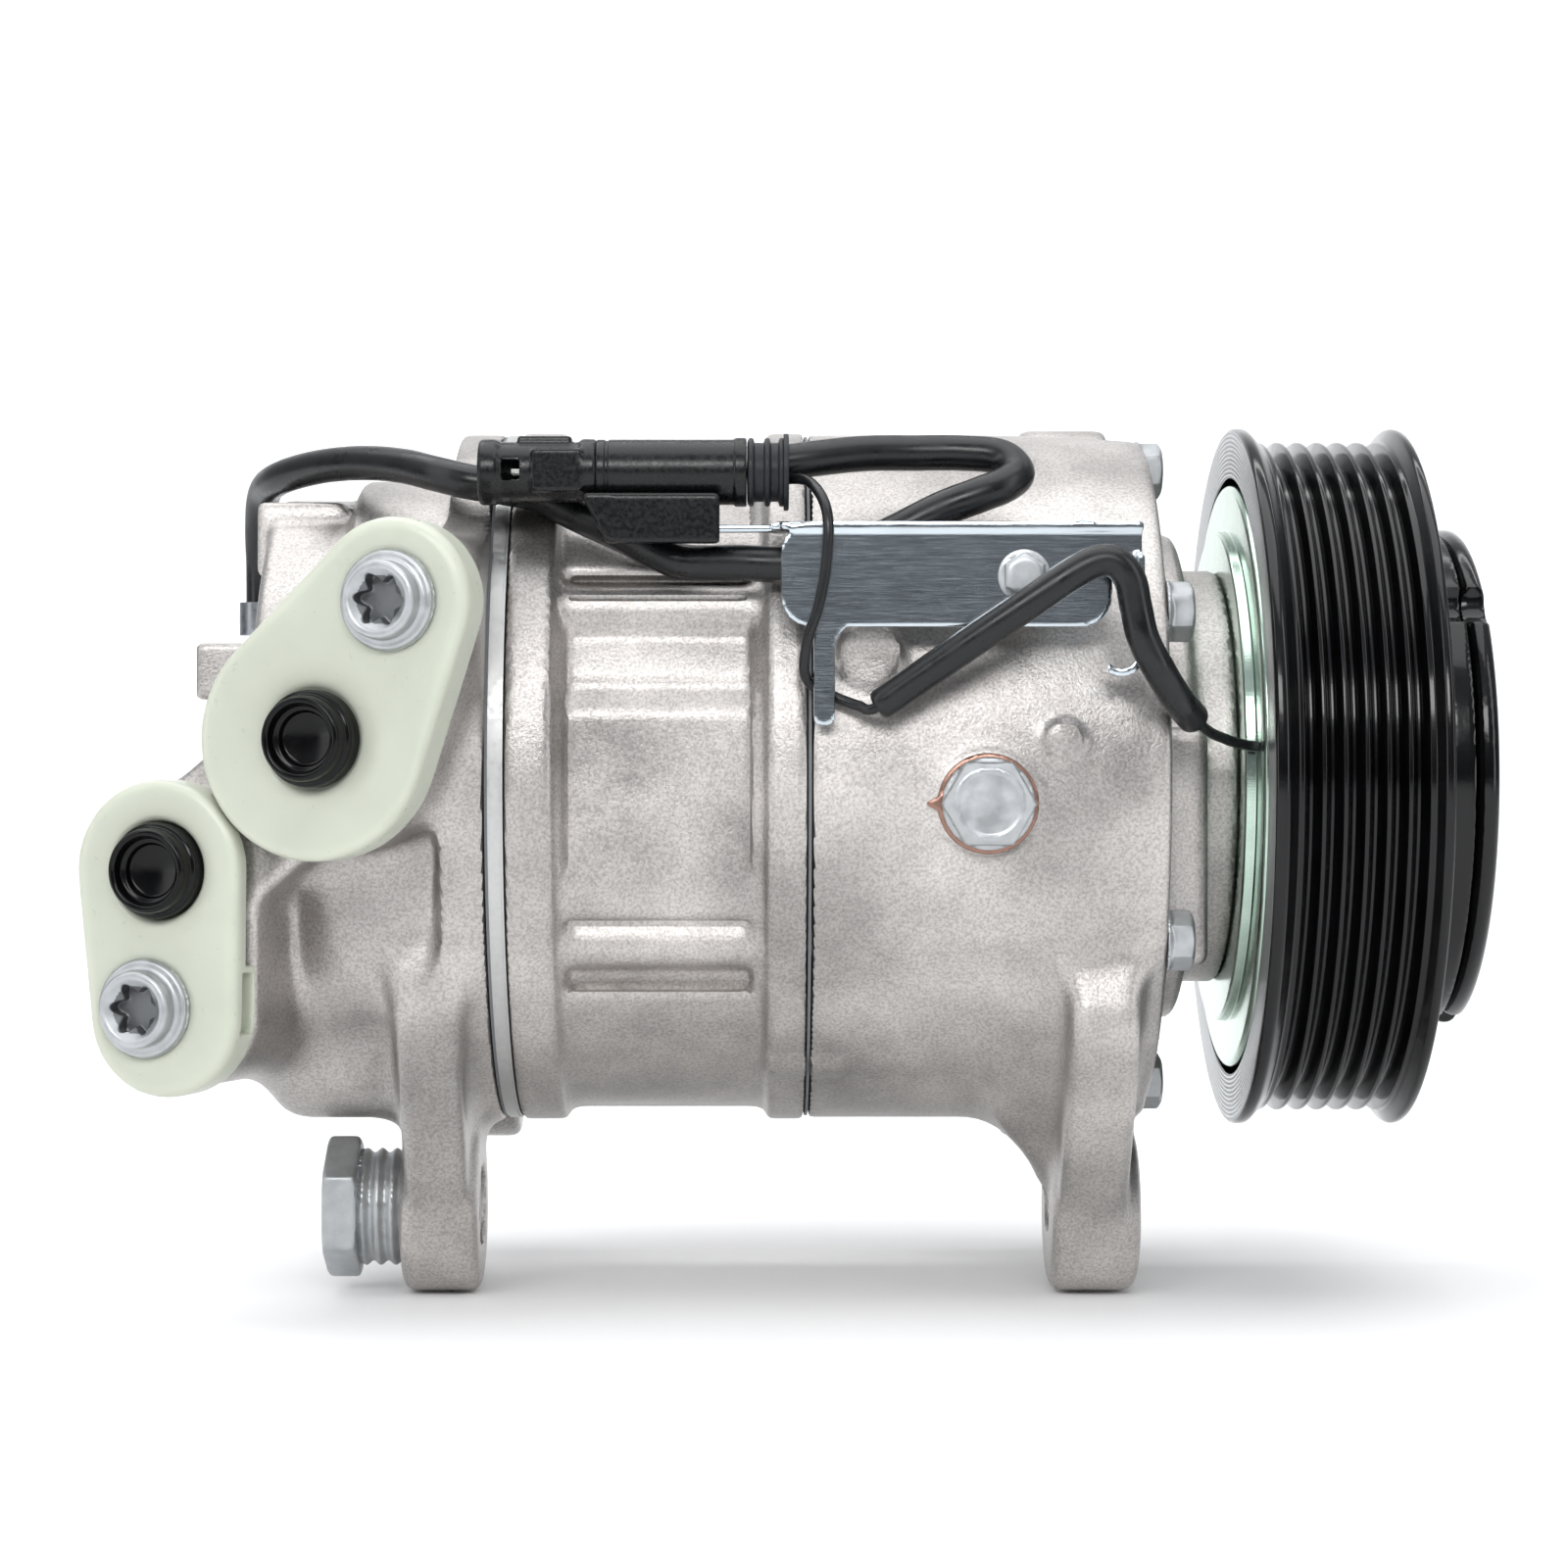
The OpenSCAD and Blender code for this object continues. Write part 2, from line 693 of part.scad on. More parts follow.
module web_slot(r, start, sweep) {
  translate([8, 0, 0]) rotate([start, 0, 0]) rotate([0, 90, 0])
    rotate_extrude(angle = sweep, $fn = FINE) translate([r, 0]) square([1.8, 10]);
}

module armature_plate() {
  color("#6f7478") difference() {
    ring(24, armature_r, armature_x, 20.9);
    for (k = [0:2]) translate([armature_x - 1, 0, 0]) rotate([120 * k + 10, 0, 0])
      rotate([0, 90, 0]) rotate_extrude(angle = 92, $fn = FINE) translate([38, 0])
      square([2, 7]);
    for (a = [42, 162, 282]) rim_notch(a, armature_x - 1, 22);
  }
}

module rim_notch(a, x0, x1) {
  bar(polar(armature_r + 1.2, a), 4.2, x0, x1);
}

module armature_cover() {
  color("#131417") {
    difference() {
      turned([[29.6, 21], [armature_r, 21], [armature_r, 22.6], [armature_r - 2, 24.4],
        [armature_r - 5, hub_front_x], [31.5, hub_front_x], [29.6, 24]]);
      for (a = [42, 162, 282]) rim_notch(a, 20, 27);
      for (a = [102, 222, 342]) bar(polar(36, a), 3.05, 20, 27);
    }
    for (a = [102, 222, 342]) {
      bar(polar(36, a), 3, 20.95, hub_front_x + 0.6);
    }
  }
}

module clutch_hub() {
  color("#1a1b1e") {
    turned([[6.55, 14.6], [12, 14.6], [12.5, 20], [23.4, 22], [23.4, hub_front_x - 0.4],
      [13.5, hub_front_x - 0.4], [12.5, hub_front_x], [9.6, hub_front_x], [9.6, 18.2],
      [6.55, 18.2]]);
  }
}

module hub_damper() {
  color("#0f1012") turned([[23.5, 22.2], [29.5, 21.2], [29.5, 24.2], [27, 23.6], [23.5, 24.7]]);
}

module hub_nut() {
  color("#a9adb0") difference() {
    union() {
      translate([19, 0, 0]) rotate([0, 90, 0]) hex(13, 5.4);
      bar([0, 0], 8.6, 18.3, 19.4);
    }
    bar([0, 0], 4.05, 17, 26);
  }
}

// ---- shaft and pumping parts ----------------------------------------------------

module shaft() {
  color("#a4a7aa") turned([[0, -138], [shaft_r - 0.5, -138], [shaft_r, -137.5],
    [shaft_r, 6], [6.5, 8], [6.5, 18.1], [4, 18.1], [4, 23], [3.4, 23.6], [0, 23.6]]);
}

module shaft_seal() {
  color("#1f2326") turned([[12.4, -2], [12.4, 5], [11.6, 5], [11.6, -0.8], [9.6, 2.8],
    [8.35, 2.2], [8.35, 1.4], [10.6, -2]]);
}

module front_bearing() {
  color("#9a9ea2") {
    ring(shaft_r + 0.04, 12.45, -23.8, -5);
    ring(shaft_r + 0.04, 10.45, front_wall_x + 1, -24.6);
  }
}

module rear_bearing() {
  color("#9a9ea2") ring(shaft_r + 0.04, 11.95, -139, -122);
}

module lug_plate() {
  color("#8c8f92") {
    turned([[shaft_r, -47.4], [19, -47.4], [40, -45], [44, -43.5], [44, -41], [20, -40],
      [shaft_r, -40]]);
    for (y = [-13, 5]) translate([-58.4, y, 14.5]) cube([13, 8, 6]);
  }
}

function spring_point(t) = [-58.4 + 10 * t / (spring_turns * spring_steps),
  10.4 * cos(360 * t / spring_steps), 10.4 * sin(360 * t / spring_steps)];

module return_spring() {
  color("#7f8589") tube([for (t = [0:spring_turns * spring_steps]) spring_point(t)], 0.8, 8);
}

module swash_plate() {
  color("#93979b") difference() {
    union() {
      ring(swash_hub_r, swash_r, swash_x - swash_t / 2, swash_x + swash_t / 2);
      ring(swash_hub_r, 20, swash_x - swash_t / 2, swash_x + swash_t / 2 + 4);
      block(swash_arm);
    }
    block(swash_notch);
  }
}

// A piston lies along x with its shoe pocket round the plate; k counts from -Y upwards
module at_cylinder(k) {
  yz = polar(bore_circle_r, bore_angles[k]);
  translate([swash_x, yz[0], yz[1]]) rotate([-bore_angles[k], 0, 0]) children();
}

// Room that the swash plate sweeps as it tilts about an axis along y
module tilt_sweep() {
  lean = sweep_h * tan(plate_tilt);
  rotate([90, 0, 0]) linear_extrude(80, center = true)
    polygon([[slot_half, 0], [slot_half, sweep_h], [-slot_half - lean, sweep_h],
      [-slot_half, 0], [-slot_half, -sweep_h], [slot_half + lean, -sweep_h]]);
}

// Drawn with the outward direction along -Y
module piston(k) {
  r = bore_r - piston_gap;
  front = 12.6;
  crown = block_rear_x + 0.8 - swash_x;
  color("#b5b8ba") at_cylinder(k) difference() {
    translate([crown, 0, 0]) rotate([0, 90, 0]) cylinder(r = r, h = front - crown, $fn = FINE);
    sphere(r = shoe_r + 0.3, $fn = MID);
    intersection() {
      rotate([bore_angles[k], 0, 0]) tilt_sweep();
      translate([-30, -9.8, -24]) cube([60, 30, 48]);
    }
    translate([-30, 6, -20]) cube([50, 20, 40]);
    translate([crown + 4, 0, 0]) rotate([0, 90, 0]) cylinder(r = r - 2.4, h = 20, $fn = MID);
    for (x = [2, 5.5]) groove(crown + x, r);
  }
}

module groove(x, r) {
  translate([x, 0, 0]) rotate([0, 90, 0]) difference() {
    cylinder(r = r + 1, h = 1.2, $fn = FINE);
    translate([0, 0, -1]) cylinder(r = r - 1, h = 4, $fn = FINE);
  }
}

module shoes(k) {
  flat = swash_t / 2 + shoe_gap;
  color("#c8a95c") at_cylinder(k) for (s = [-1, 1]) intersection() {
    sphere(r = shoe_r, $fn = MID);
    translate([s * (flat + 10), 0, 0]) cube([20, 40, 40], center = true);
  }
}

front_housing();
cylinder_block();
front_gasket();
valve_plate();
suction_reed();
discharge_reed();
head_gasket();
rear_head();
through_bolts();
suction_cover();
discharge_cover();
port_plugs();
cover_bolts();
drain_plug();
drain_washer();
relief_valve();
control_valve();
mount_sleeve();
harness_bracket();
bracket_screw();
connector_plug();
connector_sleeve();
connector_seal();
connector_clip();
connector_pins();
control_cable();
coil_wire();
lead_sleeve();
coil_shell();
coil_winding();
snap_rings();
bearing_inner_race();
shaft_seal();
front_bearing();
rear_bearing();
pulley();
bearing_outer_race();
bearing_balls();
bearing_cage();
shaft();
lug_plate();
return_spring();
clutch_hub();
hub_damper();
hub_nut();
armature_plate();
armature_cover();
swash_plate();
piston(0);  // piston_1
piston(1);  // piston_2
piston(2);  // piston_3
piston(3);  // piston_4
piston(4);  // piston_5
piston(5);  // piston_6
shoes(0);  // shoes_1
shoes(1);  // shoes_2
shoes(2);  // shoes_3
shoes(3);  // shoes_4
shoes(4);  // shoes_5
shoes(5);  // shoes_6
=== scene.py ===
"""Looks of a swash-plate refrigerant compressor with a magnetic clutch.

Laid out as a Blender add-on: sizes and colours are properties, each group of pieces has an
operator, and main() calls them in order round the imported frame. Forms are worked out in
millimetres and written to the meshes in metres.
"""

import json
import math
from functools import reduce

import bmesh
import bpy
import numpy as np
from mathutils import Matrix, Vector


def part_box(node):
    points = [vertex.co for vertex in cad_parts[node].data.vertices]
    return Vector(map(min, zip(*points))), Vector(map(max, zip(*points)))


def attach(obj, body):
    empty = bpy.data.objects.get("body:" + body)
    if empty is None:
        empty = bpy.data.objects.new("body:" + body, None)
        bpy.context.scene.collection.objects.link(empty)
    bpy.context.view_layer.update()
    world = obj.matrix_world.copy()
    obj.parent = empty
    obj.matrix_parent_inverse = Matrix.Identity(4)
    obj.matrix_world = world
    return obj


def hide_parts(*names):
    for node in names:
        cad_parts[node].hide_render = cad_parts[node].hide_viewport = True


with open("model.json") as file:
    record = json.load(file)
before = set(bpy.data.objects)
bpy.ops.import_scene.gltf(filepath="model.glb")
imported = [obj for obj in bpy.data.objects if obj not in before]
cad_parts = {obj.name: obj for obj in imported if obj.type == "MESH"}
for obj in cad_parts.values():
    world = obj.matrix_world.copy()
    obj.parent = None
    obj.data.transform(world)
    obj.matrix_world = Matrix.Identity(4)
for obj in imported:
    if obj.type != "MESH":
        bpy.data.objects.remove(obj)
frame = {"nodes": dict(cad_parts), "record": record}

bl_info = {
    "name": "Swash-plate compressor",
    "version": (1, 0, 0),
    "blender": (4, 5, 0),
    "location": "3D View > Sidebar > Compressor",
    "description": "Builds a refrigerant compressor's castings, clutch, harness and fittings",
    "category": "Add Mesh",
}

MM = 0.001


def box_mm(node):
    """Lowest and highest corner of a CAD node, in millimetres."""
    low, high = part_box(node)
    return np.array(low) / MM, np.array(high) / MM


# ---- driving places, read from the frame -------------------------------------------------

BLOCK_LOW, BLOCK_HIGH = box_mm("cylinder_block")
HOUSING_LOW = box_mm("front_housing")[0]
HEAD_LOW = box_mm("rear_head")[0]

FLANGE_R = BLOCK_HIGH[1]
BODY_R = FLANGE_R - 0.3
WAIST_R = FLANGE_R - 2.6
CRANK_R = 50.6
BOLT_CIRCLE_R = 55.0
BOLT_ANGLES = np.radians([30, 90, 150, 210, 270, 330])
BORE_ANGLES = np.radians([0, 60, 120, 180, 240, 300])
BORE_R = 14.0
BORE_CIRCLE_R = 36.0
EAR_HOLE_R = 4.3
SPLIT_X = HOUSING_LOW[0]
FLANGE_X = -32.0
HEAD_X = BLOCK_LOW[0] - 3.0
HEAD_REAR_X = -185.3
M6_HOLE_R = 3.05

# Ears and valves as (y, z), drain and bracket screw as (x, z)
LOW_EAR = (-14.0, -76.0)
FAR_EAR = (46.0, -58.0)
TOP_EAR = (38.5, 55.5)
CONTROL_VALVE, RELIEF_VALVE = (16, 20), (24, -26)
DRAIN, BRACKET_SCREW = (-62.5, -4.5), (-56.8, 32.6)

PORT_ORIGIN = np.array([-180.0, -60.0, 0.0])
PORT_TURN = math.radians(19)
# Places on the port face, as (along it, up), and the thickness of the covers
SUCTION_PORT, SUCTION_BOLT, SUCTION_R = (11.3, 6.0), (25.4, 28.0), 19.8
DISCHARGE_PORT, DISCHARGE_BOLT, DISCHARGE_LOBE = (-16.3, -15.4), (-18.1, -37.9), (-15.2, -39.1)
COVER_T = 9.5

# Bracket plate's back and thickness, and the connector's axis as (y, z) with the places along
# x where its halves and its seal meet
PLATE_Y, PLATE_T = -63.2, 1.2
CONNECTOR = (-52.0, 50.5)
HALVES_X, SEAL_X = -127, -102

CABLE_ROUTE = [
    (-191.6, 15.2, 29), (-191.6, 15, 38), (-191.4, 12, 46), (-190, 6, 51.5),
    (-186, -4, 53.4), (-178, -14, 54.6), (-169, -24, 54.5), (-161, -33, 53.2),
    (-154.5, -39.8, 51.2), (-148.5, -43, 49.6), (-143, -43.3, 48.7), (-137, -44.2, 47.3),
    (-130, -45.9, 43.8), (-122, -48.8, 40), (-117, -49.8, 37.4), (-112, -51.2, 35.6),
    (-103, -54.3, 35.3), (-95, -56.3, 35), (-86, -56.8, 36.5), (-78, -55.8, 40),
    (-70, -55.8, 44), (-63.5, -55.5, 46.5), (-59, -54, 48.4), (-57, -51, 50.6),
    (-59.5, -48, 53.4), (-66, -46.5, 54.2), (-74, -46.5, 54.2), (-82, -48, 54),
    (-90, -50.5, 53), (-96.5, -51.6, 52),
]
WIRE_ROUTE = [
    (-95.6, -54.6, 49.2), (-92, -58, 48.6), (-89.6, -64, 45.2), (-88.7, -66.6, 40.6),
    (-89.1, -66.6, 33.7), (-90.3, -66.4, 27.4), (-91.9, -65.9, 22.6), (-92.6, -64.9, 18),
    (-92, -63, 15.6), (-89.8, -62, 14), (-87.5, -62, 12.9), (-83.8, -63.4, 11.5),
    (-80.2, -65.2, 11.6),
]
WIRE_TAIL = [
    (-29.2, -60.2, 9.6), (-26.5, -57, 7.9), (-22.5, -52, 6.2), (-18.5, -48, 5.2),
    (-16.1, -47.2, 5),
]
SLEEVE_ROUTE = [
    (-80.8, -65.2, 11.2), (-72, -67.2, 17.3), (-64, -69, 22.8), (-56, -70.2, 28.2),
    (-49.8, -70.4, 32.4), (-45.5, -70.4, 34.6), (-42.4, -70.4, 34.4), (-40.2, -70.4, 31.6),
    (-39.2, -70.4, 27), (-38, -70.4, 22), (-35.4, -69.4, 17.2), (-32, -65.2, 12.6),
    (-28.5, -59.6, 9.3),
]
LEAD_ROUTE = WIRE_ROUTE[:-1] + SLEEVE_ROUTE[:-1] + WIRE_TAIL[1:]


# ---- colours -----------------------------------------------------------------------------

def linear(code):
    """sRGB hex code to linear RGB."""
    parts = [int(code[i:i + 2], 16) / 255 for i in (1, 3, 5)]
    return tuple(c / 12.92 if c <= 0.04045 else ((c + 0.055) / 1.055) ** 2.4 for c in parts)


def colour(code, label, description):
    """Colour property whose default is an sRGB hex code."""
    return bpy.props.FloatVectorProperty(
        name=label, description=description, subtype="COLOR", size=3, min=0, max=1,
        default=linear(code))


class CompressorColours(bpy.types.PropertyGroup):
    """Colours of the finishes."""

    casting: colour("#c6c2bf", "Casting", "Die-cast aluminium of the casings")
    nylon: colour("#bdc1b3", "Nylon", "Natural nylon of the shipping covers")
    rubber: colour("#050506", "Rubber", "Moulded rubber of the plugs")
    zinc: colour("#c6c9cb", "Zinc", "Zinc-flake coat of the fasteners")
    bright_zinc: colour("#c9d2d8", "Bright zinc", "Bright zinc of the harness bracket")
    green_zinc: colour("#b9cdc0", "Green zinc", "Zinc plate of the coil shell")
    black_coat: colour("#050506", "Black coat", "Gloss black coating of pulley and clutch")
    cable: colour("#0e0f11", "Cable", "PVC jacket of cable and sleeve")
    connector: colour("#08090a", "Connector", "Glass-filled nylon of the connector")
    copper: colour("#96766a", "Copper", "Copper drain washer")


class CompressorSizes(bpy.types.PropertyGroup):
    """Sizes that only change how the pieces look."""

    cast_step: bpy.props.FloatProperty(
        name="Cast step", description="Grid step that casting surfaces are worked out on, in mm",
        default=1.04, min=0.6, max=3)
    fine_step: bpy.props.FloatProperty(
        name="Fine step", description="Grid step for small moulded and pressed pieces, in mm",
        default=0.4, min=0.2, max=1)
    cast_fillet: bpy.props.FloatProperty(
        name="Cast fillet", description="Width of the fillets between cast forms, in mm",
        default=6, min=1, max=10)
    cable_r: bpy.props.FloatProperty(
        name="Cable radius", description="Radius of the control cable, in mm",
        default=3, min=2, max=3.1)
    wire_r: bpy.props.FloatProperty(
        name="Wire radius", description="Radius of the coil wire, in mm",
        default=0.9, min=0.6, max=1)
    sleeve_r: bpy.props.FloatProperty(
        name="Sleeve radius", description="Radius of the sleeve on the coil wire, in mm",
        default=2.65, min=2, max=2.7)


class CompressorStage(bpy.types.PropertyGroup):
    """Light, floor and camera."""

    key_power: bpy.props.FloatProperty(
        name="Key power", description="Power of the large lamp overhead, in W",
        default=11, min=0)
    fill_power: bpy.props.FloatProperty(
        name="Fill power", description="Power of the side lamps, in W", default=4, min=0)
    lens: bpy.props.FloatProperty(
        name="Lens", description="Focal length of the camera, in mm", default=82.6, min=20)
    distance: bpy.props.FloatProperty(
        name="Distance", description="From the camera to the shaft", default=0.65,
        min=0.3, unit="LENGTH")


def colours():
    return bpy.context.scene.compressor_colours


def sizes():
    return bpy.context.scene.compressor_sizes


# ---- forms: signed distances in millimetres, negative inside -----------------------------
# p is (x, y, z) as arrays that broadcast against each other.

def smooth_min(a, b, blend):
    """Lower of two distances, with a quadratic blend that fillets where they meet."""
    if blend <= 0:
        return np.minimum(a, b)
    share = np.maximum(blend - np.abs(a - b), 0) / blend
    return np.minimum(a, b) - share * share * blend / 4


def smooth_max(a, b, blend):
    """Higher of two distances, with a blend that rounds the edge between them."""
    return -smooth_min(-a, -b, blend)


def join(blend, *forms):
    """Union of forms with a fillet along every joint."""
    return reduce(lambda a, b: smooth_min(a, b, blend), forms)


def cut(form, tool, edge=0.6):
    """form with tool taken out, its new edge rounded."""
    return smooth_max(form, -tool, edge)


def slab(v, low, high):
    """Distance to the space between two parallel planes."""
    return np.abs(v - (low + high) / 2) - (high - low) / 2


def rod(p, centre, radius, low, high, edge=1.2):
    """Round bar along x at (y, z), with rounded rims."""
    x, y, z = p
    return smooth_max(np.hypot(y - centre[0], z - centre[1]) - radius, slab(x, low, high), edge)


def shaft_rod(p, radius, low, high, edge=1.2):
    """Round bar on the shaft axis."""
    return rod(p, (0, 0), radius, low, high, edge)


def bore(p, centre, radius, low, high):
    """Sharp round hole along x."""
    return rod(p, centre, radius, low, high, 0)


def link(p, c0, r0, c1, r1, low, high, edge=1.5):
    """Outline drawn tight round two circles in the y-z plane, as thick as low to high in x.
    It is the distance to an uneven capsule: circles joined by their outer tangents."""
    x, y, z = p
    length = math.dist(c0, c1)
    along = np.array([(c1[0] - c0[0]) / length, (c1[1] - c0[1]) / length])
    dy, dz = y - c0[0], z - c0[1]
    v = dy * along[0] + dz * along[1]
    u = np.abs(dy * along[1] - dz * along[0])
    lean = (r0 - r1) / length
    flat = math.sqrt(1 - lean * lean)
    k = -lean * u + flat * v
    outline = np.where(k < 0, np.hypot(u, v) - r0,
                       np.where(k > flat * length, np.hypot(u, v - length) - r1,
                                u * flat + v * lean - r0))
    return smooth_max(outline, slab(x, low, high), edge)


def stud(p, x0, z0, radius, front, back, edge=0.8):
    """Round boss along y between front and back at (x0, z0)."""
    x, y, z = p
    return smooth_max(np.hypot(x - x0, z - z0) - radius, slab(y, front, back), edge)


def block(p, low, high, edge=0.8):
    """Box with rounded edges."""
    faces = [slab(p[i], low[i], high[i]) for i in range(3)]
    return smooth_max(smooth_max(faces[0], faces[1], edge), faces[2], edge)


def hexagon(u, v, across):
    """Distance to a hexagonal prism's sides: the furthest of three pairs of flats."""
    sides = [np.abs(u * math.cos(a) + v * math.sin(a)) for a in np.radians([0, 60, 120])]
    return reduce(np.maximum, sides) - across / 2


def hex_head(u, v, h, across, height, chamfer=0.9):
    """Hexagonal head from h = 0 to height, its top turned to a 30 degree chamfer."""
    cone = (np.hypot(u, v) - across / 2 + (h - height) * 1.73 + chamfer) * 0.5
    prism = smooth_max(hexagon(u, v, across), slab(h, 0, height), 0.3)
    return smooth_max(prism, cone, 0.25)


def polar(radius, angle):
    """(y, z) at an angle from -Y, turning upwards."""
    return -radius * math.cos(angle), radius * math.sin(angle)


def to_port(p):
    """Point in the port face's frame: along the face, out of it towards -v, and up."""
    x, y, z = p
    c, s = math.cos(PORT_TURN), math.sin(PORT_TURN)
    dx, dy = x - PORT_ORIGIN[0], y - PORT_ORIGIN[1]
    return c * dx - s * dy, s * dx + c * dy, z


def from_port(q):
    """Port-face point back to the row frame, as an (n, 3) array."""
    c, s = math.cos(PORT_TURN), math.sin(PORT_TURN)
    u, v, w = q[:, 0], q[:, 1], q[:, 2]
    return np.column_stack([c * u + s * v, -s * u + c * v, w]) + PORT_ORIGIN


def port_link(q, c0, r0, c1, r1, low, high, edge=1.5):
    """Outline round two circles on the port face, low to high along v."""
    u, v, w = q
    return link((v, u, w), c0, r0, c1, r1, low, high, edge)


def port_rod(q, centre, radius, low, high, edge=0.8):
    """Round bar out of the port face."""
    u, v, w = q
    return rod((v, u, w), centre, radius, low, high, edge)


def polygonise(form, low, high, step):
    """Surface nets: one point in each cell that the surface crosses, at the mean of its edge
    crossings, and a quad across each crossed edge. Two Newton steps along the form's own
    gradient then bring the points onto the surface. Returns points and quads."""
    axes = [np.arange(low[i] - 2.3 * step, high[i] + 3.3 * step, step) for i in range(3)]
    grid = [a.astype(np.float32).reshape([-1 if i == k else 1 for k in range(3)])
            for i, a in enumerate(axes)]
    shape = tuple(len(a) for a in axes)
    field = np.broadcast_to(form(grid), shape)
    inside = field < 0
    n = [s - 1 for s in shape]
    corners = sum(inside[i:i + n[0], j:j + n[1], k:k + n[2]].astype(np.int8)
                  for i in (0, 1) for j in (0, 1) for k in (0, 1))
    cells = np.argwhere((corners > 0) & (corners < 8))
    index = np.full(n, -1, np.int64)
    index[tuple(cells.T)] = np.arange(len(cells))
    total, count = np.zeros((len(cells), 3)), np.zeros(len(cells))
    quads = []
    for axis in range(3):
        unit = np.eye(3, dtype=int)[axis]
        side, up = np.eye(3, dtype=int)[(axis + 1) % 3], np.eye(3, dtype=int)[(axis + 2) % 3]
        for a in (0, 1):
            for b in (0, 1):
                start = cells + a * side + b * up
                f0, f1 = field[tuple(start.T)], field[tuple((start + unit).T)]
                crossed = (f0 < 0) != (f1 < 0)
                share = f0[crossed] / (f0[crossed] - f1[crossed])
                total[crossed] += start[crossed] + share[:, None] * unit
                count[crossed] += 1
        head = [slice(None)] * 3
        tail = [slice(None)] * 3
        head[axis], tail[axis] = slice(None, -1), slice(1, None)
        edges = np.argwhere(inside[tuple(head)] != inside[tuple(tail)])
        ring = np.stack([index[tuple((edges - a * side - b * up).T)]
                         for a, b in ((1, 1), (0, 1), (0, 0), (1, 0))], axis=1)
        outward = inside[tuple(edges.T)]
        quads.append(np.where(outward[:, None], ring, ring[:, ::-1]))
    points = np.array([a[0] for a in axes]) + step * total / count[:, None]
    for _ in range(2):
        value = form(points.T)
        slope = np.stack([(form((points + d).T) - form((points - d).T)) / 0.02
                          for d in 0.01 * np.eye(3)], axis=1)
        move = value[:, None] * slope / np.maximum((slope ** 2).sum(1), 0.25)[:, None]
        points -= np.clip(move, -step, step)
    quads = np.concatenate(quads)
    return points, quads[(quads >= 0).all(axis=1)]


# ---- surfaces ----------------------------------------------------------------------------

def grid_faces(rows, columns, wrap_rows, wrap_columns):
    """Quads over a grid of points that may close on itself either way."""
    i, j = np.meshgrid(np.arange(rows if wrap_rows else rows - 1),
                       np.arange(columns if wrap_columns else columns - 1), indexing="ij")
    i, j = i.ravel(), j.ravel()
    i1, j1 = (i + 1) % rows, (j + 1) % columns
    return np.stack([i * columns + j, i1 * columns + j, i1 * columns + j1, i * columns + j1], 1)


def rounded(outline, radius, steps=4):
    """Closed outline with each corner turned to a quadratic arc that starts radius from it,
    or at most 0.45 of a side."""
    points = np.array([p[:2] for p in outline], float)
    radii = np.array([p[2] if len(p) > 2 else radius for p in outline])[:, None]
    before, after = np.roll(points, 1, 0) - points, np.roll(points, -1, 0) - points
    len_b, len_a = (np.linalg.norm(v, axis=1, keepdims=True) for v in (before, after))
    start = points + before / len_b * np.minimum(radii, 0.45 * len_b)
    end = points + after / len_a * np.minimum(radii, 0.45 * len_a)
    t = np.linspace(0, 1, steps + 1)[None, :, None]
    arcs = (1 - t) ** 2 * start[:, None] + 2 * t * (1 - t) * points[:, None] + t * t * end[:, None]
    return arcs.reshape(-1, 2)


def lathe(outline, around=192):
    """Closed outline of (radius, x) turned about the shaft axis. Returns points and quads."""
    outline = np.asarray(outline, float)
    turn = np.linspace(0, 2 * math.pi, around, endpoint=False)
    r, x = outline[:, 0][:, None], outline[:, 1][:, None]
    points = np.stack([x + 0 * turn, r * np.cos(turn), r * np.sin(turn)], 2).reshape(-1, 3)
    return points, grid_faces(len(outline), around, True, True)


def smooth_path(route, steps=8):
    """Catmull-Rom curve through a route's points, doubled at its ends."""
    p = np.array([route[0], *route, route[-1]], float)
    t = np.linspace(0, 1, steps, endpoint=False)[None, :, None]
    a, b, c, d = p[:-3, None], p[1:-2, None], p[2:-1, None], p[3:, None]
    curve = 0.5 * (2 * b + (c - a) * t + (2 * a - 5 * b + 4 * c - d) * t ** 2
                   + (3 * b - a - 3 * c + d) * t ** 3)
    return np.vstack([curve.reshape(-1, 3), p[-1]])


def sweep(route, radius, sides=20, end_round=0.35):
    """Round tube along a curve, closed by a small rounded rim and a flat end. Each ring turns
    with the curve by carrying the last ring's direction along it."""
    path = smooth_path(route)
    ahead = np.gradient(path, axis=0)
    ahead /= np.linalg.norm(ahead, axis=1, keepdims=True)
    side = np.cross(ahead[0], (0.3, 0.2, 0.93))
    sides_at = []
    for d in ahead:
        side = side - d * (side @ d)
        side /= np.linalg.norm(side)
        sides_at.append(side)
    side = np.array(sides_at)
    up = np.cross(ahead, side)
    rows = [(0, 0.0, 0.0), (0, 0.0, 1 - end_round), (0, 0.12, 1 - 0.3 * end_round)]
    rows += [(i, 0.0, 1.0) for i in range(1, len(path) - 1)]
    rows += [(len(path) - 1, -0.12, 1 - 0.3 * end_round), (len(path) - 1, 0.0, 1 - end_round),
             (len(path) - 1, 0.0, 0.0)]
    at = np.array([r[0] for r in rows])
    shift, scale = (np.array([r[k] for r in rows])[:, None, None] for k in (1, 2))
    turn = np.linspace(0, 2 * math.pi, sides, endpoint=False)[None, :, None]
    ring = np.cos(turn) * side[at][:, None] + np.sin(turn) * up[at][:, None]
    points = path[at][:, None] + shift * radius * ahead[at][:, None] + scale * radius * ring
    return points.reshape(-1, 3), grid_faces(len(rows), sides, False, True)


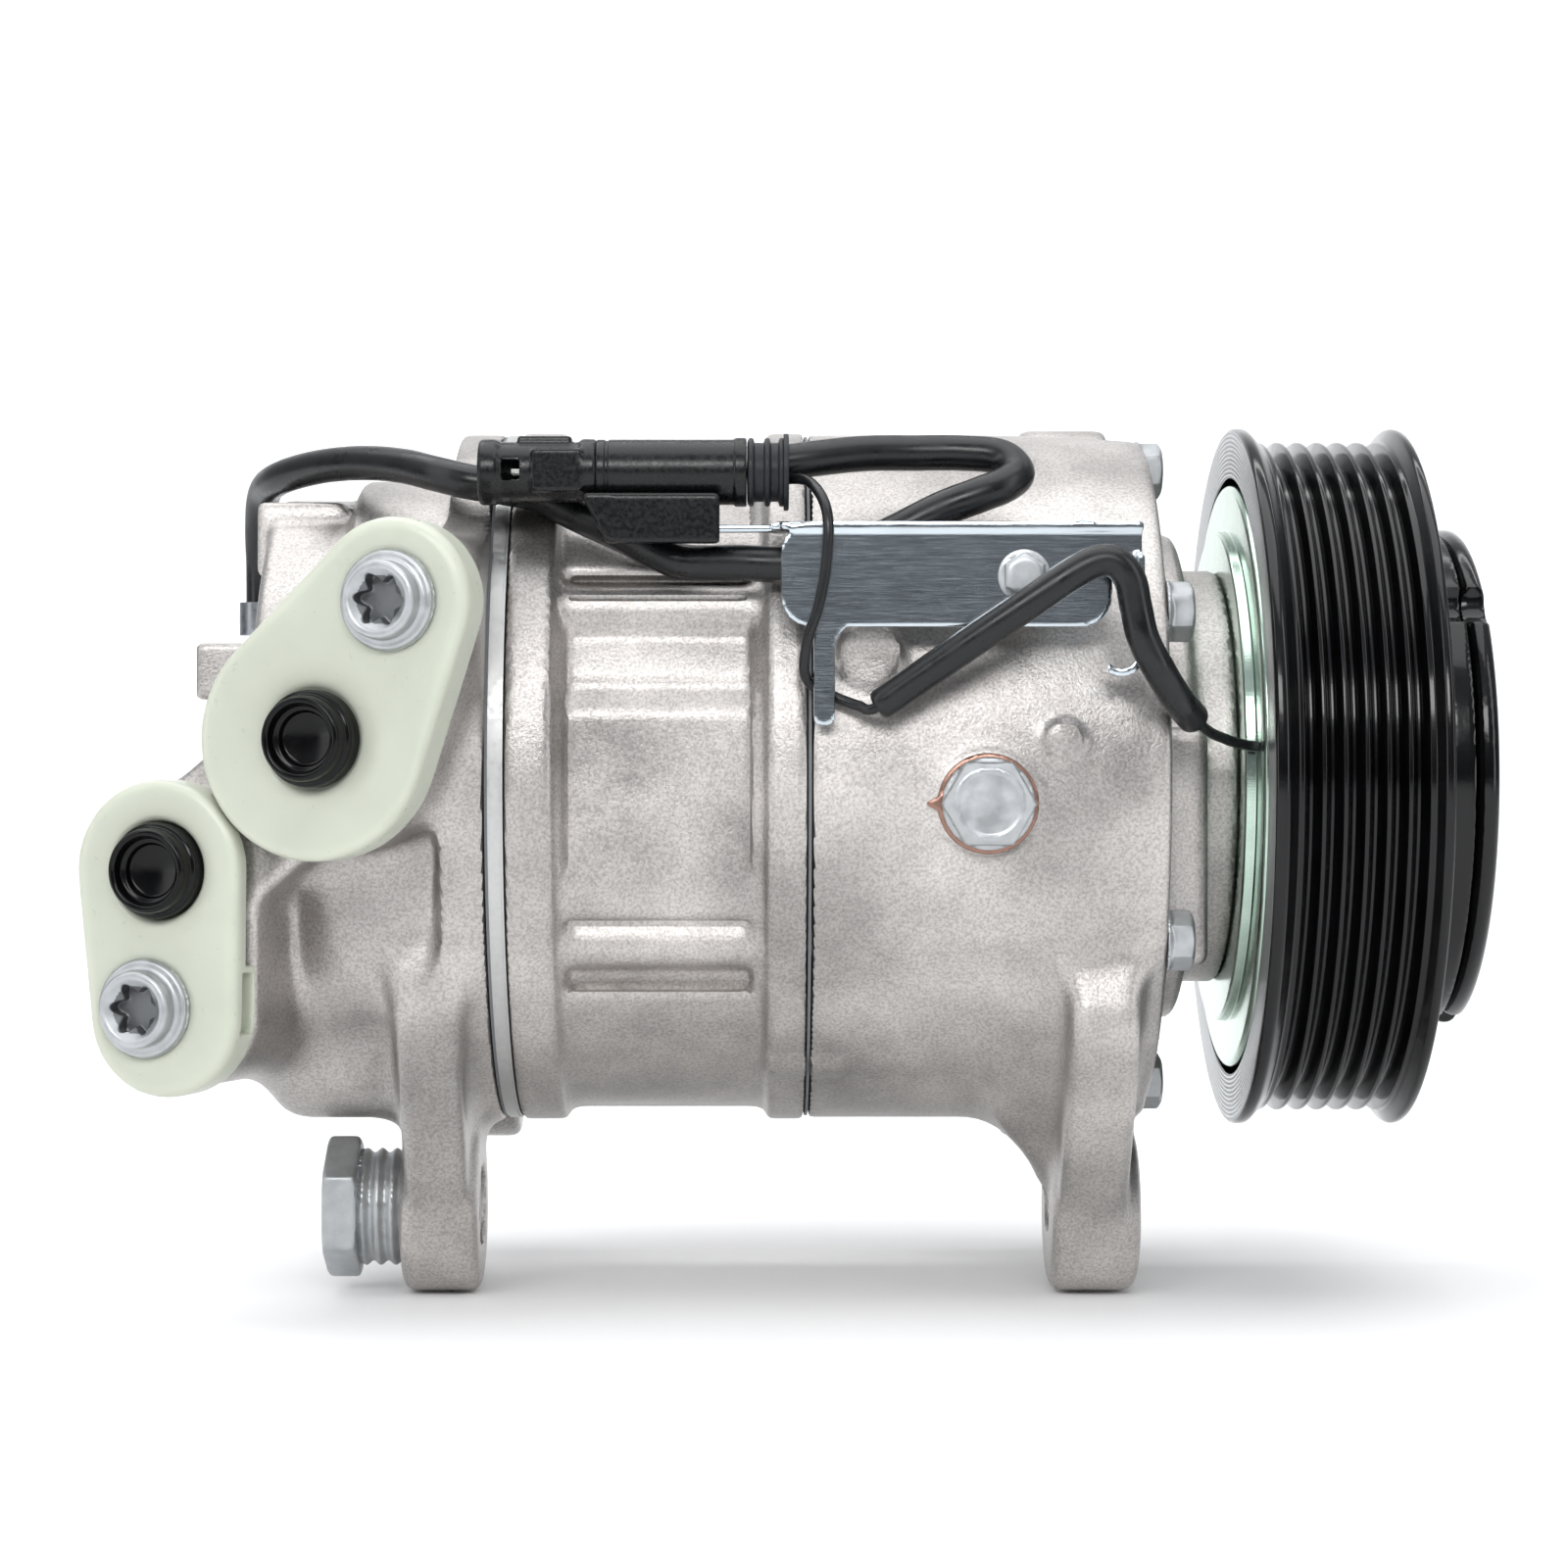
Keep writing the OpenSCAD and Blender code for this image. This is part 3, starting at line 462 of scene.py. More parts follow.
def joined(parts):
    """Several (points, quads) as one."""
    points, quads, base = [], [], 0
    for p, q in parts:
        points.append(p)
        quads.append(q + base)
        base += len(p)
    return np.vstack(points), np.vstack(quads)


def moved(part, offset):
    """(points, quads) shifted by an offset."""
    return part[0] + np.array(offset), part[1]


def piece(name, part, body, nodes, slot, sharp=35):
    """Object from (points, quads): doubles merged, normals outwards, smooth except across
    edges sharper than the angle. It has its slot's finish, rides on body and stands for the
    CAD nodes."""
    points, quads = part
    mesh = bpy.data.meshes.new(name)
    mesh.from_pydata((points * MM).tolist(), [], quads.tolist())
    shape = bmesh.new()
    shape.from_mesh(mesh)
    bmesh.ops.remove_doubles(shape, verts=shape.verts, dist=1e-6)
    bmesh.ops.dissolve_degenerate(shape, edges=shape.edges, dist=1e-6)
    bmesh.ops.recalc_face_normals(shape, faces=shape.faces)
    shape.to_mesh(mesh)
    shape.free()
    mesh.shade_smooth()
    mesh.set_sharp_from_angle(angle=math.radians(sharp))
    mesh.materials.append(FINISHES[slot])
    obj = bpy.data.objects.new(name, mesh)
    bpy.context.scene.collection.objects.link(obj)
    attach(obj, body)
    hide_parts(*nodes)
    return obj


def face_values(obj, name):
    """A vector of every face, such as its centre or normal, as an (n, 3) array."""
    values = np.zeros(len(obj.data.polygons) * 3)
    obj.data.polygons.foreach_get(name, values)
    return values.reshape(-1, 3)


def shade_faces(obj, material, chosen):
    """Gives the chosen faces a second material."""
    obj.data.materials.append(material)
    obj.data.polygons.foreach_set("material_index", chosen.astype(np.int32))


# ---- finishes ----------------------------------------------------------------------------

def add(tree, kind, links=(), **settings):
    """Adds a shader node. settings are its own values or its inputs' defaults, with _ for a
    space, and links are (input name or number, socket that feeds it)."""
    made = tree.nodes.new("ShaderNode" + kind)
    for key, value in settings.items():
        if hasattr(made, key):
            setattr(made, key, value)
        else:
            made.inputs[key.replace("_", " ")].default_value = value
    for place, socket in links:
        tree.links.new(socket, made.inputs[place])
    return made


def blank(name, base, metallic, roughness, **sockets):
    """New material with a Principled shader. Returns it, its tree, the shader and the Object
    coordinates, which are metres in the row frame."""
    material = bpy.data.materials.new(name)
    material.use_nodes = True
    tree = material.node_tree
    shader = tree.nodes["Principled BSDF"]
    shader.inputs["Base Color"].default_value = (*base, 1)
    shader.inputs["Metallic"].default_value = metallic
    shader.inputs["Roughness"].default_value = roughness
    for key, value in sockets.items():
        shader.inputs[key.replace("_", " ")].default_value = value
    place = add(tree, "TexCoord").outputs["Object"]
    return material, tree, shader, place


def grain(tree, place, size_mm, detail=4, roughness=0.55):
    """Noise whose features are about size_mm across."""
    noise = add(tree, "TexNoise", [("Vector", place)], Scale=1000 / size_mm, Detail=detail,
                Roughness=roughness)
    return noise.outputs["Fac"]


def spread(tree, value, low, high, from_low=0.3, from_high=0.7):
    """Value carried from one range to another and clamped."""
    ramp = add(tree, "MapRange", [("Value", value)], From_Min=from_low, From_Max=from_high,
               To_Min=low, To_Max=high)
    return ramp.outputs["Result"]


def tint(tree, factor, dark, light):
    """Colour between dark and light by a factor."""
    mix = add(tree, "Mix", data_type="RGBA")
    mix.inputs[6].default_value = (*dark, 1)
    mix.inputs[7].default_value = (*light, 1)
    tree.links.new(factor, mix.inputs[0])
    return mix.outputs[2]


def shade(rgb, factor):
    return tuple(min(1.0, c * factor) for c in rgb)


def mottle(tree, shader, value, base, dark, light=1.0):
    """Base colour that wanders with value between two shades of base."""
    mixed = tint(tree, spread(tree, value, 0, 1), shade(base, dark), shade(base, light))
    tree.links.new(mixed, shader.inputs["Base Color"])


def gloss(tree, shader, value, low, high):
    """Roughness that follows value from low to high."""
    tree.links.new(spread(tree, value, low, high), shader.inputs["Roughness"])


def bump(tree, shader, layers):
    """Chain of bumps into the shader's normal; layers are (height socket, depth in mm)."""
    normal = None
    for height, depth in layers:
        made = add(tree, "Bump", [("Height", height)], Strength=1.0, Distance=depth * MM)
        if normal is not None:
            tree.links.new(normal, made.inputs["Normal"])
        normal = made.outputs["Normal"]
    tree.links.new(normal, shader.inputs["Normal"])


def cast_finish():
    """Die-cast aluminium, shot blasted: a satin skin with a fine dark speckle, broad flow
    marks and small pits."""
    base = colours().casting
    material, tree, shader, place = blank("die_cast_aluminium", base, 0.92, 0.42)
    flow = grain(tree, place, 26, 3)
    speck = grain(tree, place, 0.5, 3, 0.65)
    patch = tint(tree, spread(tree, flow, 0, 1), shade(base, 0.6), shade(base, 1.16))
    dots = tint(tree, spread(tree, speck, 0, 1, 0.36, 0.6), (0.6, 0.59, 0.58), (1, 1, 1))
    mixed = add(tree, "Mix", data_type="RGBA", blend_type="MULTIPLY")
    mixed.inputs[0].default_value = 0.8
    tree.links.new(patch, mixed.inputs[6])
    tree.links.new(dots, mixed.inputs[7])
    tree.links.new(mixed.outputs[2], shader.inputs["Base Color"])
    gloss(tree, shader, flow, 0.3, 0.5)
    pits = add(tree, "TexVoronoi", [("Vector", place)], Scale=260.0, Randomness=1.0)
    bump(tree, shader, [(flow, 0.9), (speck, 0.09),
                        (spread(tree, pits.outputs["Distance"], 0, 1, 0.02, 0.16), 0.04)])
    return material


def nylon_finish():
    """Natural nylon 6, injection moulded: milky, slightly green where it is thick, with light
    scattered under a satin skin."""
    base = colours().nylon
    material, tree, shader, place = blank(
        "natural_nylon", base, 0, 0.34, IOR=1.53, Subsurface_Weight=0.55,
        Subsurface_Radius=(1.0, 1.0, 0.85), Subsurface_Scale=0.003)
    cloud = grain(tree, place, 14, 2)
    mottle(tree, shader, cloud, base, 0.93)
    skin = grain(tree, place, 1.6, 3)
    gloss(tree, shader, skin, 0.27, 0.42)
    bump(tree, shader, [(cloud, 0.12), (skin, 0.02)])
    return material


def rubber_finish(name="moulded_rubber", roughness=0.16, rgb=None):
    """Moulded rubber or a rubber coat, with dust that dulls it in places."""
    material, tree, shader, place = blank(name, rgb or colours().rubber, 0, roughness,
                                          Specular_IOR_Level=0.22)
    dust = grain(tree, place, 3, 5)
    gloss(tree, shader, dust, roughness * 0.8, roughness * 1.5)
    bump(tree, shader, [(dust, 0.02)])
    return material


def zinc_finish(name, base, low, high):
    """Zinc plate on pressed steel: bright, clouded where the plate is thinner and scratched by
    handling."""
    material, tree, shader, place = blank(name, base, 1, low)
    cloud = grain(tree, place, 5, 4)
    stretch = add(tree, "Mapping", [("Vector", place)], Scale=(1, 1, 9))
    scratch = grain(tree, stretch.outputs["Vector"], 2, 6, 0.7)
    mottle(tree, shader, cloud, base, 0.84)
    gloss(tree, shader, scratch, low, high)
    bump(tree, shader, [(scratch, 0.012), (cloud, 0.03)])
    return material


def zinc_flake_finish():
    """Zinc-flake coat on bolt heads: satin silver grey with a faint dusty cloud."""
    base = colours().zinc
    material, tree, shader, place = blank("zinc_flake_coat", base, 0.85, 0.42)
    cloud = grain(tree, place, 3, 3)
    mottle(tree, shader, cloud, base, 0.66, 0.86)
    gloss(tree, shader, cloud, 0.34, 0.5)
    bump(tree, shader, [(grain(tree, place, 0.5, 2), 0.008)])
    return material


def bright_zinc_finish():
    """Bright zinc over cold-rolled strip: almost a mirror, with the strip's long waviness and
    rolling lines."""
    base = colours().bright_zinc
    material, tree, shader, place = blank("bright_zinc_strip", base, 1, 0.1)
    wave = grain(tree, place, 22, 2)
    lines = add(tree, "Mapping", [("Vector", place)], Scale=(0.6, 1, 14))
    rolled = grain(tree, lines.outputs["Vector"], 3, 6, 0.7)
    mottle(tree, shader, wave, base, 0.8)
    gloss(tree, shader, rolled, 0.07, 0.22)
    bump(tree, shader, [(wave, 0.28), (rolled, 0.01)])
    return material


def black_coat_finish():
    """Black electrophoretic coat over spun steel: glossy, with faint orange peel and a slow
    wander in tone and gloss."""
    base = colours().black_coat
    material, tree, shader, place = blank("black_coat", base, 0, 0.2, Specular_IOR_Level=0.3,
                                          Coat_Weight=0.12, Coat_Roughness=0.05)
    peel = grain(tree, place, 1.4, 3)
    wear = grain(tree, place, 9, 5)
    mottle(tree, shader, wear, base, 0.7, 1.7)
    gloss(tree, shader, wear, 0.1, 0.22)
    bump(tree, shader, [(peel, 0.015)])
    return material


def turned_finish(name="turned_steel", base=(0.55, 0.55, 0.56)):
    """Bare face from a lathe: rings about the shaft, drawn coarse enough to show."""
    material, tree, shader, place = blank(name, base, 1, 0.3, Anisotropic=0.5)
    flat = add(tree, "Mapping", [("Vector", place)], Scale=(0, 1, 1))
    rings = add(tree, "TexWave", [("Vector", flat.outputs["Vector"])], wave_type="RINGS",
                rings_direction="SPHERICAL", Scale=400.0, Distortion=0.4, Detail=3.0)
    tree.links.new(spread(tree, rings.outputs["Fac"], 0.22, 0.42, 0, 1),
                   shader.inputs["Roughness"])
    bump(tree, shader, [(rings.outputs["Fac"], 0.01)])
    return material


def jacket_finish():
    """Extruded PVC jacket: dark grey, satin to glossy, with a slow wander in thickness and
    handling marks."""
    base = colours().cable
    material, tree, shader, place = blank("pvc_jacket", base, 0, 0.3, Specular_IOR_Level=0.4)
    marks = grain(tree, place, 4, 5)
    mottle(tree, shader, marks, base, 0.8, 1.35)
    gloss(tree, shader, marks, 0.22, 0.4)
    bump(tree, shader, [(grain(tree, place, 9, 2), 0.12), (marks, 0.015)])
    return material


def moulded_finish(name="glass_filled_nylon", base=None):
    """Glass-filled nylon from a sparked mould: black with a fine leathery grain."""
    base = base or colours().connector
    material, tree, shader, place = blank(name, base, 0, 0.3, Specular_IOR_Level=0.35)
    spark = grain(tree, place, 0.7, 3)
    mottle(tree, shader, spark, base, 0.8, 1.3)
    gloss(tree, shader, spark, 0.2, 0.36)
    bump(tree, shader, [(spark, 0.02)])
    return material


def metal_finish(name, base, roughness):
    """Plain machined metal inside the casings: even, with a light grain."""
    material, tree, shader, place = blank(name, base, 1, roughness)
    fine = grain(tree, place, 1.2, 4)
    mottle(tree, shader, fine, base, 0.86)
    gloss(tree, shader, fine, roughness * 0.8, roughness * 1.3)
    bump(tree, shader, [(fine, 0.01)])
    return material


FINISHES = {}


def make_finishes():
    """One material for each slot of the record."""
    c = colours()
    cast, coat = cast_finish(), black_coat_finish()
    jacket, moulded = jacket_finish(), moulded_finish()
    steel = metal_finish("ground_steel", linear("#a9adb1"), 0.28)
    FINISHES.update({
        "cast_aluminium": cast,
        "gasket": rubber_finish("coated_gasket", 0.5, linear("#6a6c6e")),
        "valve_steel": metal_finish("valve_steel", linear("#c3c3c2"), 0.42),
        "bolt_steel": zinc_flake_finish(),
        "cover_nylon": nylon_finish(),
        "plug_rubber": rubber_finish(),
        "copper": metal_finish("copper_washer", c.copper, 0.32),
        "valve_brass": metal_finish("turned_brass", linear("#b9a97c"), 0.3),
        "valve_body": metal_finish("turned_valve_steel", linear("#8d9094"), 0.32),
        "bracket_zinc": bright_zinc_finish(),
        "connector_plastic": moulded,
        "seal_rubber": rubber_finish("silicone_seal", 0.35, linear("#25272a")),
        "terminal_tin": metal_finish("tin_plate", linear("#c9ccc6"), 0.3),
        "cable_pvc": jacket,
        "coil_steel": zinc_finish("green_zinc_plate", c.green_zinc, 0.1, 0.24),
        "winding": metal_finish("enamelled_wire", linear("#8a4b2a"), 0.4),
        "bearing_steel": steel,
        "cage_nylon": moulded_finish("cage_nylon", linear("#a58b4a")),
        "pulley_black": coat,
        "clutch_black": coat,
        "damper_rubber": rubber_finish("bonded_rubber", 0.4),
        "shaft_steel": turned_finish("ground_shaft_steel", linear("#a4a7aa")),
        "swash_iron": metal_finish("machined_iron", linear("#8f9296"), 0.38),
        "piston_aluminium": metal_finish("machined_aluminium", linear("#b5b8ba"), 0.3),
        "shoe_brass": metal_finish("polished_shoe", linear("#c8a95c"), 0.2),
        # Darker grey steel, also put on the faces inside the cover bolts' star sockets as painted
        # shade in those hollows.
        "socket_steel": metal_finish("socket_steel_painted_shade", linear("#77797b"), 0.5),
        "turned_ring": turned_finish("turned_pulley_ring", linear("#b4b6b8")),
    })


# ---- castings ----------------------------------------------------------------------------

def bolt_holes(p, form, low, high):
    for a in BOLT_ANGLES:
        form = cut(form, bore(p, polar(BOLT_CIRCLE_R, a), M6_HOLE_R, low, high), 0)
    return form


def front_housing_form(p):
    """Crankcase barrel, stepped nose and snout, ears carried on tapered columns that run into
    the barrel, and the round bosses on the port side."""
    x, y, z = p
    fillet = sizes().cast_fillet
    barrel = shaft_rod(p, BODY_R, SPLIT_X, FLANGE_X, 0.9)
    around = np.hypot(y, z)
    barrel = smooth_max(barrel, around - BODY_R + (x + 46) * 0.09, 1.5)
    nose = join(2.5, shaft_rod(p, 43.5, FLANGE_X - 3, -26, 2), shaft_rod(p, 37, -30, -18, 1.5))
    step = block(p, (FLANGE_X - 2, -47.5, -32), (-24.5, -20, 8), 2.5)
    column = link(p, LOW_EAR, 13.2, (-43, -40), 12.5, -48.3, -36.4, 3)
    pad = rod(p, LOW_EAR, 14.5, -48.3, -33.6, 3)
    seam = slab(x, -43.2, -42.7) + 0.3
    web = link(p, (-14, -66), 5, (-40, -36), 8, -59, -47, 3)
    web = smooth_max(web, (x + 60) * -0.75 - (z + 58.5) * 0.66, 2)
    gusset = link(p, (-52, -26), 2.2, (-34, -44), 2.6, -66, -46, 1.5)
    far = join(3, link(p, FAR_EAR, 10.4, (44, -36), 8.5, -52.4, -38.6, 3),
               rod(p, FAR_EAR, 11, -53, -38, 2))
    top = join(3, link(p, TOP_EAR, 9.4, (28, 40), 10.5, -49.4, -34.6, 3),
               rod(p, TOP_EAR, 10, -50, -34, 2))
    bosses = join(1, stud(p, *DRAIN, 8.6, -61.6, -50), stud(p, -81.7, 20, 5.3, -59.6, -50),
                  stud(p, *BRACKET_SCREW, 5, PLATE_Y, -48), stud(p, -50, 6, 3, -61.8, -50))
    form = join(fillet, barrel, join(3, column, pad), web, far, top)
    form = join(3, form, gusset)
    form = smooth_min(form, smooth_max(form - 0.35, seam, 0.3), 0.3)
    form = join(1.5, form, nose, step, bosses, joint_bosses(p))
    form = smooth_min(form, shaft_rod(p, 17.5, -30, 13.5, 1), 0.5)
    form = smooth_max(form, SPLIT_X - x, 0.9)
    form = cut(cut(form, shaft_rod(p, CRANK_R, SPLIT_X - 5, -39, 6), 0),
               shaft_rod(p, 12.5, -24, 20, 0), 0.4)
    form = cut(form, shaft_rod(p, 10.5, -45, -23, 0), 0)
    form = cut(form, stud(p, *BRACKET_SCREW, 2.5, -70, -50, 0), 0)
    for centre in (LOW_EAR, FAR_EAR, TOP_EAR):
        form = cut(form, bore(p, centre, EAR_HOLE_R, -60, -25), 0.8)
    return bolt_holes(p, form, SPLIT_X - 1, FLANGE_X + 1)


def joint_bosses(p):
    """Low bosses over the joint between housing and block, in line with the through bolts."""
    return join(0, *[rod(p, polar(BODY_R - 4.2, math.radians(a)), 5, SPLIT_X - 7, SPLIT_X + 6, 1)
                     for a in (-54, 126, 66, 186)])


def cylinder_block_form(p):
    """Barrel with a flange at each end. Its waist is cut back between a flat pad over the
    front cylinder, with a ledge above and a step below, and flats over the others."""
    x, y, z = p
    low, high = BLOCK_LOW[0], BLOCK_HIGH[0]
    around = np.hypot(y, z)
    flanges = join(0, shaft_rod(p, FLANGE_R, low, -134, 1.4),
                   shaft_rod(p, FLANGE_R, -98.5, high, 1.4))
    form = join(3, flanges, shaft_rod(p, WAIST_R, low + 1, high - 1, 0))
    length = slab(x, -132.2, -101.2)
    front = smooth_max(slab(z, 15.3, 33), y + 30, 0)
    recess = smooth_max(smooth_max(front, 55.6 - around, 0.6), length, 1.5)
    form = cut(form, recess, 3)
    pad = smooth_max(smooth_max(y + 55.7, slab(z, -22, 10.5), 0), length, 1.5)
    ledge = smooth_max(smooth_max(-(z - 10.5) + (y + 55.7) * 1.6, slab(z, 10, 15.4), 0),
                       length, 1.5)
    under = smooth_max(smooth_max(smooth_max(56.7 - around, y + 20, 0), slab(z, -36, -24), 0.6),
                       length, 1.5)
    form = cut(cut(cut(form, pad, 0.8), ledge * 0.55, 0.8), under, 1.2)
    for a in np.radians([60, 120, 180, 240]):
        direction = polar(1, a)
        ahead = y * direction[0] + z * direction[1]
        aside = np.abs(y * direction[1] - z * direction[0]) - 14.5
        form = cut(form, smooth_max(smooth_max(length, 56 - ahead, 0.8), aside, 2), 1.6)
    crowns = join(0, *[rod(p, polar(BOLT_CIRCLE_R, a), 4.4, -134, -99, 0.5) for a in BOLT_ANGLES])
    form = join(1.5, form, crowns, joint_bosses(p))
    form = smooth_max(smooth_max(form, x - high, 0.9), low - x, 0.9)
    for a in BORE_ANGLES:
        form = cut(form, bore(p, polar(BORE_CIRCLE_R, a), BORE_R, low - 1, high + 1), 0)
    form = cut(form, shaft_rod(p, 12, low - 1, high + 1, 0), 0)
    return bolt_holes(p, form, low - 1, high + 1)


def rear_head_form(p):
    """Domed rear head: flange, stepped barrel, the port block that leans out to its turned
    face, ears, and pads for the valves."""
    fillet = sizes().cast_fillet
    x, y, z = p
    q = to_port(p)
    barrel = join(2.5, shaft_rod(p, BODY_R, -152.5, HEAD_X, 1), shaft_rod(p, 53, -170.5, -150, 2),
                  shaft_rod(p, 49.5, HEAD_REAR_X, -150, 2.5))
    valve_block = block(p, (-187.6, -22, 34.9), (-172, 2, 47.9), 1.5)
    lug = block(p, (-195.4, -40, 13), (-184, -30, 22.6), 1)
    ports = join(2, port_link(q, SUCTION_PORT, 18.4, SUCTION_BOLT, 12.2, -0.5, 34, 2),
                 port_link(q, DISCHARGE_PORT, 13.8, DISCHARGE_LOBE, 12.4, -0.5, 34, 2),
                 port_link(q, DISCHARGE_PORT, 12.5, SUCTION_PORT, 12, -0.5, 34, 2))
    flank = link(p, (-41, -16), 13, (-38, -27), 13, -176, -153, 9)
    column = link(p, LOW_EAR, 13.2, (-40, -37), 11.6, -161, -150, 3)
    pad = rod(p, LOW_EAR, 14.5, -162, -149, 2.5)
    far = join(3, link(p, FAR_EAR, 10.4, (43, -34), 8.5, -157.4, -146.6, 3),
               rod(p, FAR_EAR, 11, -158, -146, 2))
    belly = link(p, (-22, -46), 13.5, (-30, -30), 13, -185, -153, 8)
    form = join(fillet, barrel, ports, join(3, column, pad), far, belly, flank)
    form = join(2, form, valve_block, lug)
    form = smooth_max(form, x - HEAD_X, 0.9)
    form = join(3, form, rod(p, CONTROL_VALVE, 13, -187.3, -180, 2),
                rod(p, RELIEF_VALVE, 8, -188.3, -180, 1.5))
    channel = smooth_max(smooth_max(np.hypot(y, z) - 46, 28 - np.hypot(y, z), 1),
                         slab(x, -165, HEAD_X + 2), 2)
    form = cut(cut(form, channel, 0), shaft_rod(p, 23, -168, HEAD_X + 2, 1), 0)
    form = cut(form, bore(p, LOW_EAR, 7, -170, -140), 0.6)
    form = cut(form, bore(p, FAR_EAR, EAR_HOLE_R, -165, -140), 0.8)
    for centre, radius in ((SUCTION_PORT, 7.2), (DISCHARGE_PORT, 6.2)):
        form = cut(form, port_rod(q, centre, radius, -2, 22), 0.5)
    for centre in (SUCTION_BOLT, DISCHARGE_BOLT):
        form = cut(form, port_rod(q, centre, M6_HOLE_R, -2, 12), 0)
    form = cut(form, bore(p, CONTROL_VALVE, 9, -190, -172.5), 0.4)
    form = cut(form, bore(p, RELIEF_VALVE, 5, -192, -172), 0.4)
    return bolt_holes(p, form, -151.6, HEAD_X + 1)


class CastingOperator:
    """Makes one casting from its form, on the cast step times its share."""

    share = 1.0

    def execute(self, context):
        part = polygonise(self.form, *box_mm(self.node), sizes().cast_step * self.share)
        piece(self.node + "_casting", part, "housing", [self.node], "cast_aluminium")
        return {"FINISHED"}


class COMPRESSOR_OT_front_housing(CastingOperator, bpy.types.Operator):
    """Front housing with its nose, snout, ears and bosses"""

    bl_idname = "compressor.front_housing"
    bl_label = "Front housing"
    node, form = "front_housing", staticmethod(front_housing_form)


class COMPRESSOR_OT_cylinder_block(CastingOperator, bpy.types.Operator):
    """Cylinder block with its flanges, flats and bores"""

    bl_idname = "compressor.cylinder_block"
    bl_label = "Cylinder block"
    node, form = "cylinder_block", staticmethod(cylinder_block_form)


class COMPRESSOR_OT_rear_head(CastingOperator, bpy.types.Operator):
    """Rear head with its port block and ears"""

    bl_idname = "compressor.rear_head"
    bl_label = "Rear head"
    node, form, share = "rear_head", staticmethod(rear_head_form), 0.88


# ---- covers, plugs and fasteners ---------------------------------------------------------

def port_dish(q, centre, radius):
    """Shallow cone sunk in a cap round its plug."""
    radial = np.hypot(q[0] - centre[0], q[2] - centre[1])
    return (radial - radius + (q[1] + COVER_T) * 4.2) * 0.23


def cover_openings(q, form, port, ring_r, dish_r, hole_r, bolt):
    """form with a ring, a dish and a hole for its plug, and a flat and a hole for its bolt."""
    form = join(1, form, port_rod(q, port, ring_r, -3, 9, 1))
    form = cut(form, port_rod(q, port, 8, -12, -COVER_T + 3), 0.6)
    form = cut(form, port_dish(q, port, dish_r), 1.5)
    form = cut(form, port_rod(q, port, hole_r, -12, 10, 0), 0)
    form = cut(form, port_rod(q, bolt, 8.7, -12, -COVER_T + 0.35), 0.5)
    return cut(form, port_rod(q, bolt, 3.3, -12, 1, 0), 0)


def suction_cover_form(q):
    """Pear-shaped cap with a raised ring round the plug and a flat round the bolt."""
    form = port_link(q, SUCTION_PORT, SUCTION_R, SUCTION_BOLT, 13.5, -COVER_T, -0.8, 2.2)
    return cover_openings(q, form, SUCTION_PORT, 7, 16.5, 5.9, SUCTION_BOLT)


def discharge_cover_form(q):
    """Long cap with straight sides, a step along its flank and a cut that clears the other
    cover."""
    u, v, w = q
    form = port_link(q, DISCHARGE_PORT, 14.8, DISCHARGE_LOBE, 13.4, -COVER_T, -0.8, 2.2)
    form = cut(form, port_rod(q, SUCTION_PORT, SUCTION_R + 0.4, -14, 2, 0), 0.8)
    thin = smooth_max(smooth_max(-5.4 - v, -31 - w, 0.3), -8 - u, 0.3)
    form = cut(form, thin, 0.5)
    flank = block((u, v, w), (-4.4, -COVER_T + 3, -42), (0, -2.6, -32), 0.5)
    form = cut(form, flank, 0.5)
    return cover_openings(q, form, DISCHARGE_PORT, 6, 12.5, 5, DISCHARGE_BOLT)


def in_port_frame(part):
    """(points, quads) worked out in the port face's frame, back in the row frame."""
    return from_port(part[0]), part[1]


def plug(centre, stem_r):
    """Rubber plug as a turned outline: stem, lip that beds in the cover, a rounded ring round
    a stepped hollow."""
    out = COVER_T
    outline = rounded([(0, -6), (stem_r, -6, 0.6), (stem_r, out - 2.9, 0.2), (7.9, out - 2.9, 0.2),
                       (7.9, out + 0.6, 0.9), (7.1, out + 1.0, 0.3), (6.8, out + 3.4, 1.0),
                       (5.7, out + 3.4, 0.5), (5.3, out + 1.6, 0.3), (4.5, out + 1.4, 0.3),
                       (4.4, out + 0.2, 0.5), (0, out - 0.4, 0.0)], 0.3)
    points, quads = lathe(outline, 96)
    depth, a, b = points.T
    return np.column_stack([a + centre[0], -depth, b + centre[1]]), quads


def star(u, v, mean, depth):
    """Six-lobed star socket: radius mean plus depth times a cosine with six turns."""
    return (np.hypot(u, v) - mean - depth * np.cos(6 * np.arctan2(v, u) + 0.5)) * 0.7


def cover_bolt_form(centre):
    """Flanged bolt with a cylindrical head, a chamfered rim and a star socket."""
    def form(q):
        u, v, w = q[0] - centre[0], -q[1], q[2] - centre[1]
        radial = np.hypot(u, w)
        flange = smooth_max(radial - 8, slab(v, COVER_T + 0.1, COVER_T + 1.2), 0.7)
        washer = smooth_max(radial - 7 + (v - COVER_T - 1) * 1.4,
                            slab(v, COVER_T, COVER_T + 1.9), 0.3)
        head = smooth_max(radial - 6.3, slab(v, COVER_T, COVER_T + 4.4), 0.8)
        shank = smooth_max(radial - 3, slab(v, -10, COVER_T + 0.5), 0.4)
        socket = smooth_max(star(u, w, 3.6, 0.8), COVER_T + 0.9 - v, 0.2)
        funnel = smooth_max((radial - 5.1 + (COVER_T + 4.4 - v) * 1.2) * 0.6,
                            COVER_T + 2.6 - v, 0.2)
        full = join(0.4, flange, washer, head, shank)
        return cut(cut(full, socket, 0.25), funnel, 0.2)
    return form


